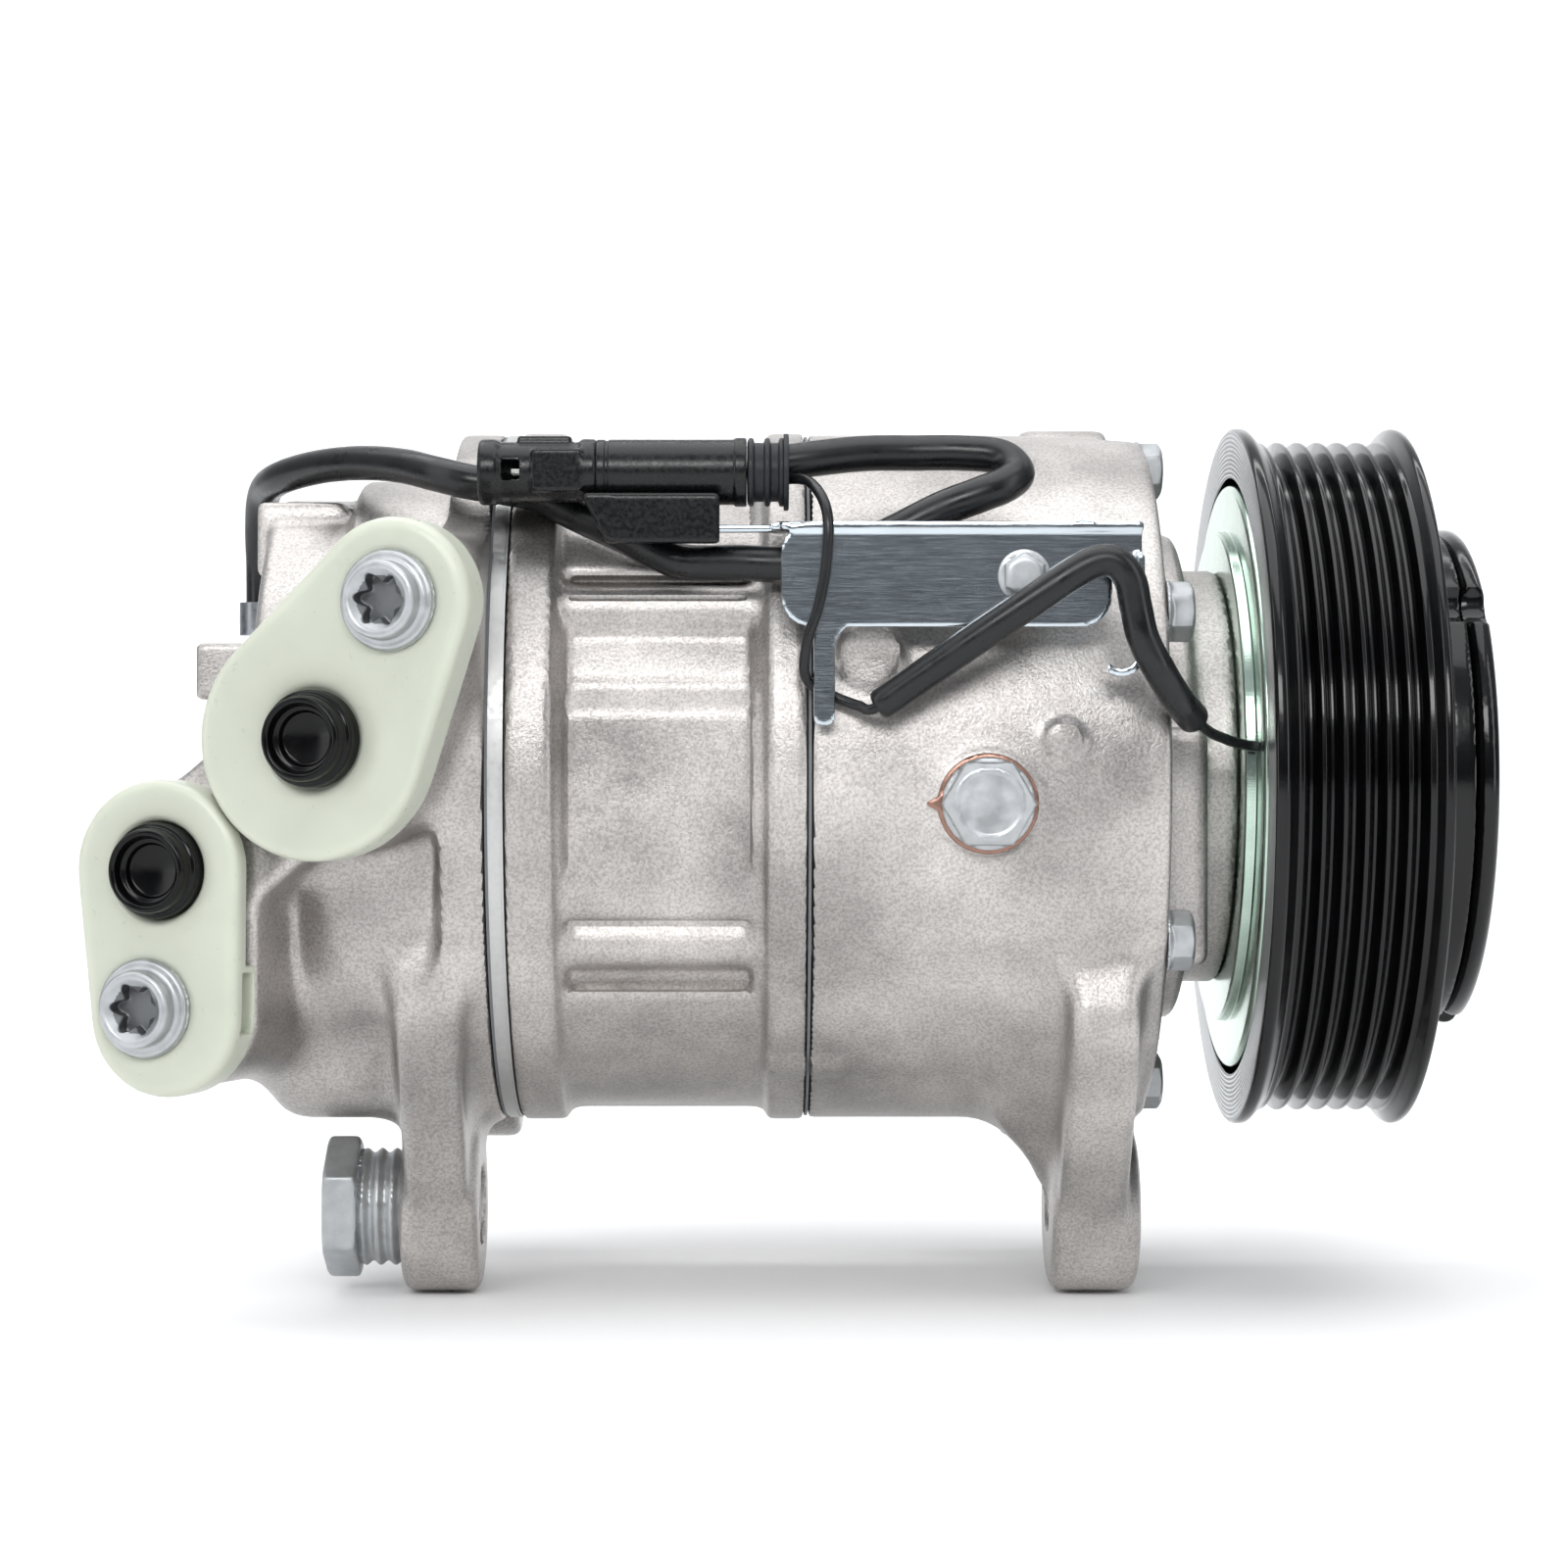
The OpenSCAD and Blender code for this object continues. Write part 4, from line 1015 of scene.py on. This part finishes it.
def flanged_hex_form(p):
    """Through-bolt head at the origin, facing +x: hexagon on a washer face, domed flange and
    a short shank."""
    x, y, z = p
    radial = np.hypot(y, z)
    flange = smooth_max(smooth_max(radial - 5.6, slab(x, 0, 1.5), 0.5),
                        (radial - 5.9 + x * 1.2) * 0.64, 0.3)
    head = hex_head(y, z, x - 0.8, 9, 4.0, 0.7)
    dish = (radial - 3.1 + (4.8 - x) * 2.2) * 0.4
    shank = smooth_max(radial - 3, slab(x, -119.2, 0.5), 0.5)
    return join(0.3, cut(head, dish, 0.3), flange, shank)


def drain_plug_form(p):
    """Hexagon-head plug facing -y, on a round washer face with a turned neck."""
    x, y, z = p[0] - DRAIN[0], -p[1], p[2] - DRAIN[1]
    radial = np.hypot(x, z)
    collar = smooth_max(radial - 7.6, slab(y, 62.9, 63.9), 0.4)
    neck = smooth_max(radial - 6, slab(y, 50, 64.5), 0.4)
    head = hex_head(z, x, y - 63.6, 13.5, 3.7, 1.1)
    dimple = smooth_max(radial - 5.2, 67.0 - y, 0.3)
    return join(0.3, cut(head, dimple, 0.3), collar, neck)


def drain_washer_form(p):
    """Copper washer with a locking tab bent towards the rear."""
    ring = stud(p, *DRAIN, 8.3, -62.9, -61.6, 0.5)
    tab = block(p, (-72.6, -62.9, -6), (-68, -61.7, -3), 0.4)
    tab = smooth_max(tab, (np.abs(p[2] + 4.5) - 0.3) * 0.9 - (p[0] + 72.6) * 0.4, 0.3)
    return cut(join(0.5, ring, tab), stud(p, *DRAIN, 6.1, -66, -60, 0), 0.1)


def mount_sleeve_form(p):
    """Steel sleeve: tube in the ear, ribbed collar, and a chamfered hexagon flange."""
    x, y, z = p[0], p[1] - LOW_EAR[0], p[2] - LOW_EAR[1]
    radial = np.hypot(y, z)
    tube = smooth_max(radial - 6.97, slab(x, -165, -149.4), 0.5)
    ribs = 0.5 * np.cos((x + 166.5) * 2 * math.pi / 2.6)
    collar = smooth_max(radial - 9.9 - ribs * 0.8, slab(x, -170.2, -162.2), 0.5)
    head = smooth_max(hexagon(y, z, 21.6), slab(x, -176, -170), 0.5)
    head = smooth_max(head, (radial - 11.6 - 1.5 * (3 - np.abs(x + 173))) * 0.5, 0.4)
    form = join(0.4, tube, collar, head)
    return cut(form, smooth_max(radial - EAR_HOLE_R, slab(x, -178, -148), 0), 0.7)


class COMPRESSOR_OT_port_covers(bpy.types.Operator):
    """Nylon shipping covers, their rubber plugs and star-socket bolts"""

    bl_idname = "compressor.port_covers"
    bl_label = "Port covers"

    def execute(self, context):
        step = sizes().fine_step * 1.4
        for name, form, low, high in (
            ("suction_cover", suction_cover_form, (-9, -COVER_T, -14), (39, 9, 42)),
            ("discharge_cover", discharge_cover_form, (-32, -COVER_T, -53), (0, 9, 0)),
        ):
            part = in_port_frame(polygonise(form, low, high, step))
            piece(name + "_cap", part, "housing", [name], "cover_nylon", 50)
        plugs = joined([in_port_frame(plug(SUCTION_PORT, 5.8)),
                        in_port_frame(plug(DISCHARGE_PORT, 4.9))])
        piece("port_plugs_moulded", plugs, "housing", ["port_plugs"], "plug_rubber", 50)
        bolts = []
        for centre in (SUCTION_BOLT, DISCHARGE_BOLT):
            low = (centre[0] - 8, -COVER_T - 4.4, centre[1] - 8)
            high = (centre[0] + 8, 10, centre[1] + 8)
            bolts.append(in_port_frame(polygonise(cover_bolt_form(centre), low, high,
                                                  sizes().fine_step * 0.6)))
        made = piece("cover_bolts_turned", joined(bolts), "housing", ["cover_bolts"],
                     "bolt_steel")
        # Faces inside the star sockets get the darker socket steel: painted shade in the hollows.
        u, v, w = to_port(face_values(made, "center").T / MM)
        radial = np.minimum(*[np.hypot(u - c[0], w - c[1]) for c in (SUCTION_BOLT, DISCHARGE_BOLT)])
        shade_faces(made, FINISHES["socket_steel"], (radial < 4.7) & (-v < COVER_T + 3.4))
        return {"FINISHED"}


class COMPRESSOR_OT_fasteners(bpy.types.Operator):
    """Through bolts, drain plug and washer, and the sleeve in the rear ear"""

    bl_idname = "compressor.fasteners"
    bl_label = "Fasteners"

    def execute(self, context):
        step = sizes().fine_step
        one = polygonise(flanged_hex_form, (-119.2, -5.6, -5.6), (4.8, 5.6, 5.6), step * 1.2)
        bolts = [moved(one, (FLANGE_X, *polar(BOLT_CIRCLE_R, a))) for a in BOLT_ANGLES]
        piece("through_bolts_forged", joined(bolts), "housing", ["through_bolts"], "bolt_steel")
        for name, form, slot in (
            ("drain_plug", drain_plug_form, "bolt_steel"),
            ("drain_washer", drain_washer_form, "copper"),
            ("mount_sleeve", mount_sleeve_form, "bolt_steel"),
        ):
            part = polygonise(form, *box_mm(name), step)
            piece(name + "_turned", part, "housing", [name], slot)
        return {"FINISHED"}


# ---- harness -----------------------------------------------------------------------------

def bracket_form(p):
    """Zinc strip: plate with a rolled corner at each end and a tab on the left, its top edge
    folded back, a finger into the clip, and a hook that holds the sleeve."""
    x, y, z = p
    thick = slab(y, PLATE_Y - PLATE_T, PLATE_Y)
    plate = smooth_max(slab(x, -96.4, -42.4), slab(z, 24.3, 41.3), 6)
    tab = smooth_max(slab(x, -91.1, -87.6), slab(z, 8.2, 30), 1.8)
    throat = np.hypot(x + 83, z - 20.4) - 4.6
    shoulder = smooth_max(slab(x, -91.1, -83), slab(z, 20.4, 30), 0)
    outline = join(0, plate, tab, smooth_max(shoulder, -throat, 0))
    outline = join(1.5, outline, smooth_max(slab(x, -48, -37.6), slab(z, 33, 41.3), 1))
    sheet = smooth_max(outline, thick, 0.35)
    fold = block(p, (-96.4, PLATE_Y - PLATE_T, 40.2), (-37.4, PLATE_Y + 4, 41.4), 0.5)
    finger = join(0.3, block(p, (-112, PLATE_Y + 5.6, 40.2), (-93, PLATE_Y + 9, 41.4), 0.5),
                  block(p, (-98, PLATE_Y, 40.2), (-93, PLATE_Y + 9, 41.4), 0.5))
    arm = block(p, (-38.6, PLATE_Y - 4.2, 20), (-37.4, PLATE_Y + 0.5, 36), 0.5)
    ring = np.hypot(x + 41.2, z - 20) - 3.2
    curl = smooth_max(smooth_max(np.abs(ring) - PLATE_T / 2, z - 20.3, 0.2),
                      slab(y, PLATE_Y - 4.2, PLATE_Y + 0.6), 0.3)
    curl = smooth_max(curl, -(x + 43.4), 0.3)
    form = join(0.8, sheet, fold, finger, arm, curl)
    return cut(form, stud(p, *BRACKET_SCREW, 2.6, PLATE_Y - 4, PLATE_Y + 2, 0), 0.1)


def screw_form(p):
    """Small hexagon screw with its washer, facing -y."""
    x, y, z = p[0] - BRACKET_SCREW[0], -p[1], p[2] - BRACKET_SCREW[1]
    radial = np.hypot(x, z)
    washer = smooth_max(radial - 4.3, slab(y, 64.4, 65.1), 0.3)
    head = hex_head(x, z, y - 65, 6.4, 2.0, 0.5)
    shank = smooth_max(radial - 2.45, slab(y, 54, 65), 0.3)
    return join(0.2, washer, head, shank)


def plug_half_form(p):
    """Round plug half of the connector: rim, latch rib on top, and the deep socket."""
    form = join(0.8, rod(p, CONNECTOR, 5, -146.3, HALVES_X, 0.8),
                rod(p, CONNECTOR, 5.45, -146.3, -143.2, 0.9),
                rod(p, CONNECTOR, 5.5, -129.5, HALVES_X, 0.6))
    y, z = CONNECTOR
    latch = block(p, (-140, y - 2.2, z + 4), (-131, y + 2.2, z + 5.9), 0.6)
    window = block(p, (-142.5, y - 6, z - 1.6), (-139.5, y - 3.5, z + 1.8), 0.4)
    side = block(p, (-137.5, y - 5.4, z - 3.6), (-129, y - 3.5, z + 3.6), 0.8)
    form = join(0.5, form, latch, side)
    return cut(cut(form, rod(p, CONNECTOR, 3.9, -147, -131, 0), 0.5), window, 0.2)


def clip_form(p):
    """Clip foot: a shoe with a slanted heel under the connector, slotted for the bracket's
    finger, with a low back that grips the sleeve."""
    x, z = p[0], p[2]
    shoe = block(p, (-129, -58.5, 38.5), (-106.5, -53.2, 46.7), 0.8)
    shoe = smooth_max(shoe, (x + 129) * -0.88 - (z - 38.5) * 0.47 + 3.4, 0.6)
    back = block(p, (-124, -54.4, 44), (-109, -53.2, 50), 0.4)
    lip = block(p, (-124, -58.5, 38.5), (-106.5, -57.9, 46), 0.3)
    form = join(0.4, shoe, back, lip)
    form = cut(form, rod(p, CONNECTOR, 5.5, -135, -100, 0), 0.4)
    return cut(form, block(p, (-131, -57.8, 40), (-100, -50, 41.6), 0.2), 0.2)


def sleeve_half():
    """Smooth rear half of the connector, turned, with a seam and a collar."""
    outline = rounded([(0, HALVES_X), (5.45, HALVES_X, 0.5), (5.45, -125.6, 0.1),
                       (5.25, -125.4, 0.1), (5.25, -125.0, 0.1), (5.45, -124.8, 0.1),
                       (5.45, -104.2, 0.3), (5.75, -103.8, 0.3), (5.75, SEAL_X, 0.4),
                       (0, SEAL_X)], 0.3)
    return on_connector(lathe(outline, 96))


def ribbed_seal():
    """Silicone seal with three ribs and an end flange."""
    ribs = []
    for x in (-101.9, -99.2, -96.8):
        ribs += [(4.9, x), (5.7, x + 0.25, 0.3), (5.7, x + 1.0, 0.3), (4.9, x + 1.25)]
    outline = rounded([(0, SEAL_X), *ribs, (6.4, -95.9, 0.2), (6.4, -95.0, 0.3), (3.5, -95, 0.2),
                       (3.3, -95.6, 0.2), (0, -95.6)], 0.15)
    return on_connector(lathe(outline, 96))


def on_connector(part):
    return moved(part, (0, *CONNECTOR))


class COMPRESSOR_OT_harness(bpy.types.Operator):
    """Bracket, connector, cable, coil wire and sleeve"""

    bl_idname = "compressor.harness"
    bl_label = "Harness"

    def execute(self, context):
        step, s = sizes().fine_step, sizes()
        for name, form, slot, share in (
            ("harness_bracket", bracket_form, "bracket_zinc", 1.0),
            ("bracket_screw", screw_form, "bolt_steel", 0.7),
            ("connector_plug", plug_half_form, "connector_plastic", 0.8),
            ("connector_clip", clip_form, "connector_plastic", 1.0),
        ):
            part = polygonise(form, *box_mm(name), step * share)
            piece(name + "_piece", part, "housing", [name], slot)
        piece("connector_sleeve_piece", sleeve_half(), "housing", ["connector_sleeve"],
              "connector_plastic")
        piece("connector_seal_piece", ribbed_seal(), "housing", ["connector_seal"],
              "seal_rubber", 50)
        cable = piece("control_cable_jacket", sweep(CABLE_ROUTE, s.cable_r, 28), "housing",
                      ["control_cable"], "cable_pvc", 60)
        wire = piece("coil_wire_jacket", sweep(LEAD_ROUTE, s.wire_r), "housing", ["coil_wire"],
                     "cable_pvc", 60)
        sleeve = piece("lead_sleeve_tube", sweep(SLEEVE_ROUTE, s.sleeve_r, 28), "housing",
                       ["lead_sleeve"], "cable_pvc", 60)
        return {"FINISHED"}


# ---- clutch and pulley -------------------------------------------------------------------

GROOVES, GROOVE_PITCH, CREST_R, ROOT_R = 6, 3.56, 60.0, 56.8
RIVET_CIRCLE_R = 36


def pulley_outline():
    """Section of the grooved pulley: V grooves between flat-topped ribs, two flanges, the
    friction face and the bearing seat."""
    points = [(27.5, -10.5), (30.6, -10.5, 0.5), (30.6, 8.6, 2), (53.6, 8.6, 2),
              (53.6, -15.5, 0.3), (61.9, -15.5, 0.5), (62.5, -14.9, 0.4), (62.5, -13.4, 0.7),
              (CREST_R, -11.2, 0.5)]
    for g in range(GROOVES):
        x = (g - (GROOVES - 1) / 2) * GROOVE_PITCH
        points += [(CREST_R, x - 1.43, 0.25), (ROOT_R, x - 0.42, 0.3), (ROOT_R, x + 0.42, 0.3),
                   (CREST_R, x + 1.43, 0.25)]
    points += [(CREST_R, 11.2, 0.5), (62.5, 12.7, 0.7), (62.2, 14.1, 0.5), (56, 14.1, 0.8),
               (54, 13.0, 0.8), (47, 13.0, 0.5), (46, 16.2, 0.4), (30, 16.2, 0.4), (29, 14),
               (27.5, 14, 0.3)]
    return rounded(points, 0.3, 3)


def armature_form(low, high, inner, outer, chamfer):
    """Ring on the shaft axis with three round notches in its rim."""
    def form(p):
        ring = smooth_max(np.hypot(p[1], p[2]) - outer, slab(p[0], low, high), chamfer)
        for a in np.radians([42, 162, 282]):
            ring = cut(ring, bore(p, polar(outer + 1.2, a), 4.2, low - 1, high + 1), 0.5)
        return cut(ring, shaft_rod(p, inner, low - 1, high + 1, 0), 0.5)
    return form


class COMPRESSOR_OT_pulley(bpy.types.Operator):
    """Grooved pulley"""

    bl_idname = "compressor.pulley"
    bl_label = "Pulley"

    def execute(self, context):
        made = piece("pulley_rim", lathe(pulley_outline(), 256), "pulley", ["pulley"],
                     "pulley_black", 40)
        centres, normals = face_values(made, "center") / MM, face_values(made, "normal")
        radial = np.hypot(centres[:, 1], centres[:, 2])
        bare = (normals[:, 0] < -0.9) & (radial > 53) & (centres[:, 0] < -15)
        friction = (normals[:, 0] > 0.9) & (radial < 46) & (centres[:, 0] > 15)
        shade_faces(made, FINISHES["turned_ring"], bare | friction)
        return {"FINISHED"}


class COMPRESSOR_OT_clutch(bpy.types.Operator):
    """Coil shell, armature, its cover, hub, damper and nut"""

    bl_idname = "compressor.clutch"
    bl_label = "Clutch"

    def execute(self, context):
        coil = lathe(rounded([(17.6, -18), (44, -18, 0.6), (44, -16, 0.4), (52.4, -16, 1.2),
                              (52.4, 6, 0.4), (49.6, 6), (49.6, -13), (34, -13), (34, 6),
                              (31.5, 6, 0.3), (31.5, -16, 0.4), (17.6, -16)], 0.2), 224)
        piece("coil_shell_pressed", coil, "housing", ["coil_shell"], "coil_steel")
        step = sizes().fine_step * 1.5
        plate = polygonise(armature_form(16.7, 20.9, 24, 44.35, 0.4),
                           *box_mm("armature_plate"), step)
        piece("armature_plate_coated", plate, "armature", ["armature_plate"], "clutch_black")
        cover = polygonise(self.cover_form, *box_mm("armature_cover"), step)
        piece("armature_cover_pressed", cover, "armature", ["armature_cover"], "clutch_black")
        hub = lathe(rounded([(6.55, 14.6), (12, 14.6, 0.5), (12.5, 20, 2), (23.4, 22, 0.5),
                             (23.4, 24.8, 0.6), (13.5, 24.8, 0.8), (12.5, 25.2, 0.3),
                             (9.6, 25.2, 0.6), (9.6, 18.2, 0.3), (6.55, 18.2, 0.3)], 0.3), 160)
        piece("clutch_hub_forged", hub, "shaft", ["clutch_hub"], "clutch_black")
        damper = lathe(rounded([(23.5, 22.2), (29.5, 21.2), (29.5, 24.2, 0.2), (27, 23.4, 1.2),
                                (23.5, 24.7, 0.2)], 0.2), 160)
        piece("hub_damper_bonded", damper, "shaft", ["hub_damper"], "damper_rubber")
        nut = polygonise(self.nut_form, (18.3, -8.7, -8.7), (24.4, 8.7, 8.7), sizes().fine_step)
        piece("hub_nut_forged", nut, "shaft", ["hub_nut"], "bolt_steel")
        return {"FINISHED"}

    @staticmethod
    def cover_form(p):
        """Pressed cover: domed rim, three notches, and rivets that stand proud."""
        ring = armature_form(21, 25.2, 29.6, 44.4, 2.4)(p)
        for a in np.radians([102, 222, 342]):
            ring = join(0.4, ring, rod(p, polar(RIVET_CIRCLE_R, a), 3, 20.8, 25.8, 1.2))
        dish = smooth_max(np.abs(np.hypot(p[1], p[2]) - RIVET_CIRCLE_R) - 3.6, 24.9 - p[0], 0.3)
        return cut(ring, dish, 0.2)

    @staticmethod
    def nut_form(p):
        """Hexagon nut on a washer face, with its bore."""
        x, y, z = p
        radial = np.hypot(y, z)
        washer = smooth_max(radial - 8.6, slab(x, 18.3, 19.5), 0.4)
        head = hex_head(y, z, x - 19, 13, 5.4, 0.9)
        return cut(join(0.2, washer, head), smooth_max(radial - 4.05, slab(x, 17, 26), 0), 0.5)


class COMPRESSOR_OT_inner_parts(bpy.types.Operator):
    """Finishes of the pieces that the frame itself shows"""

    bl_idname = "compressor.inner_parts"
    bl_label = "Inner parts"

    def execute(self, context):
        slots = {s["node"]: s["material_slot"] for s in frame["record"]["subparts"]}
        for name, node in frame["nodes"].items():
            node.data.materials.clear()
            node.data.materials.append(FINISHES[slots[name]])
        return {"FINISHED"}


# ---- stage -------------------------------------------------------------------------------

def area_lamp(name, place, aim, width, height, power):
    lamp = bpy.data.lights.new(name, "AREA")
    lamp.shape = "RECTANGLE"
    lamp.size, lamp.size_y, lamp.energy = width, height, power
    obj = bpy.data.objects.new(name, lamp)
    bpy.context.scene.collection.objects.link(obj)
    obj.location = place
    obj.rotation_mode = "QUATERNION"
    obj.rotation_quaternion = (Vector(aim) - Vector(place)).to_track_quat("-Z", "Y")
    return obj


class COMPRESSOR_OT_stage(bpy.types.Operator):
    """Pale floor that curves up behind, soft lamps, and the camera"""

    bl_idname = "compressor.stage"
    bl_label = "Stage"

    def execute(self, context):
        scene = context.scene
        settings = scene.compressor_stage
        floor_z = HEAD_LOW[2] - 0.5
        bend, reach, wide = 600.0, 1500.0, 6000.0
        turn = np.linspace(0, math.pi / 2, 24)
        ys = np.concatenate([[-3000], reach + bend * np.sin(turn), [reach + bend]])
        zs = np.concatenate([[floor_z], floor_z + bend * (1 - np.cos(turn)), [floor_z + 4000]])
        xs = np.array([-wide, wide])
        points = np.stack([np.repeat(xs[None], len(ys), 0), np.repeat(ys[:, None], 2, 1),
                           np.repeat(zs[:, None], 2, 1)], 2).reshape(-1, 3)
        mesh = bpy.data.meshes.new("studio_floor")
        mesh.from_pydata((points * MM).tolist(), [],
                         grid_faces(len(ys), 2, False, False)[:, ::-1].tolist())
        mesh.shade_smooth()
        material, tree, shader, place = blank("studio_paper", (0.9, 0.9, 0.9), 0, 0.7)
        paper = grain(tree, place, 3, 3)
        bump(tree, shader, [(paper, 0.02)])
        mesh.materials.append(material)
        floor = bpy.data.objects.new("studio_floor", mesh)
        scene.collection.objects.link(floor)

        world = bpy.data.worlds.new("soft_box_room")
        world.use_nodes = True
        tree = world.node_tree
        background = tree.nodes["Background"]
        direction = add(tree, "TexCoord").outputs["Generated"]
        parts = add(tree, "SeparateXYZ", [("Vector", direction)])
        height = spread(tree, parts.outputs["Z"], 0.0, 1.0, -0.1, 0.75)
        lit = tint(tree, height, (0.07, 0.075, 0.085), (0.9, 0.94, 1.0))
        tree.links.new(lit, background.inputs["Color"])
        background.inputs["Strength"].default_value = 0.62
        scene.world = world

        key, fill, middle = settings.key_power, settings.fill_power, (-0.1, 0, 0)
        area_lamp("overhead_softbox", (-0.15, -0.1, 1.1), middle, 1.6, 1.0, key)
        area_lamp("high_front_softbox", (-0.3, -1.25, 0.62), middle, 1.1, 0.3, key * 0.95)
        area_lamp("left_strip", (-1.2, -0.5, 0.35), middle, 0.4, 1.4, fill)
        area_lamp("right_strip", (1.0, -0.7, 0.45), (0, 0, 0), 0.35, 1.2, fill)
        area_lamp("backdrop_wash", (-0.1, 0.7, 1.2), (-0.1, 1.9, 0.1), 2.6, 0.6, key * 2.2)

        lens = bpy.data.cameras.new("studio_camera")
        lens.lens, lens.sensor_width = settings.lens, 36
        lens.shift_x, lens.shift_y = 0.02, -0.005
        lens.clip_start, lens.clip_end = 0.05, 20
        camera = bpy.data.objects.new("studio_camera", lens)
        scene.collection.objects.link(camera)
        camera.location = (-0.101, -settings.distance, 0)
        camera.rotation_euler = (math.pi / 2, 0, 0)
        scene.camera = camera
        scene.view_settings.view_transform = "Standard"
        return {"FINISHED"}


class COMPRESSOR_PT_panel(bpy.types.Panel):
    """Lists the compressor's operators"""

    bl_idname = "COMPRESSOR_PT_panel"
    bl_label = "Compressor"
    bl_space_type = "VIEW_3D"
    bl_region_type = "UI"
    bl_category = "Compressor"

    def draw(self, context):
        for operator in OPERATORS:
            self.layout.operator(operator.bl_idname)
        for group in (context.scene.compressor_colours, context.scene.compressor_sizes,
                      context.scene.compressor_stage):
            for name in group.bl_rna.properties.keys():
                if name not in {"rna_type", "name"}:
                    self.layout.prop(group, name)


GROUPS = {
    "compressor_colours": CompressorColours,
    "compressor_sizes": CompressorSizes,
    "compressor_stage": CompressorStage,
}
OPERATORS = (
    COMPRESSOR_OT_inner_parts,
    COMPRESSOR_OT_front_housing,
    COMPRESSOR_OT_cylinder_block,
    COMPRESSOR_OT_rear_head,
    COMPRESSOR_OT_port_covers,
    COMPRESSOR_OT_fasteners,
    COMPRESSOR_OT_harness,
    COMPRESSOR_OT_pulley,
    COMPRESSOR_OT_clutch,
    COMPRESSOR_OT_stage,
)


def register():
    for name, group in GROUPS.items():
        bpy.utils.register_class(group)
        setattr(bpy.types.Scene, name, bpy.props.PointerProperty(type=group))
    for cls in (*OPERATORS, COMPRESSOR_PT_panel):
        bpy.utils.register_class(cls)


def unregister():
    for cls in reversed((*OPERATORS, COMPRESSOR_PT_panel)):
        bpy.utils.unregister_class(cls)
    for name, group in GROUPS.items():
        delattr(bpy.types.Scene, name)
        bpy.utils.unregister_class(group)


def main():
    register()
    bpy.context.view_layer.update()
    make_finishes()
    for operator in OPERATORS:
        group, name = operator.bl_idname.split(".")
        getattr(getattr(bpy.ops, group), name)()


if __name__ == "__main__":
    main()
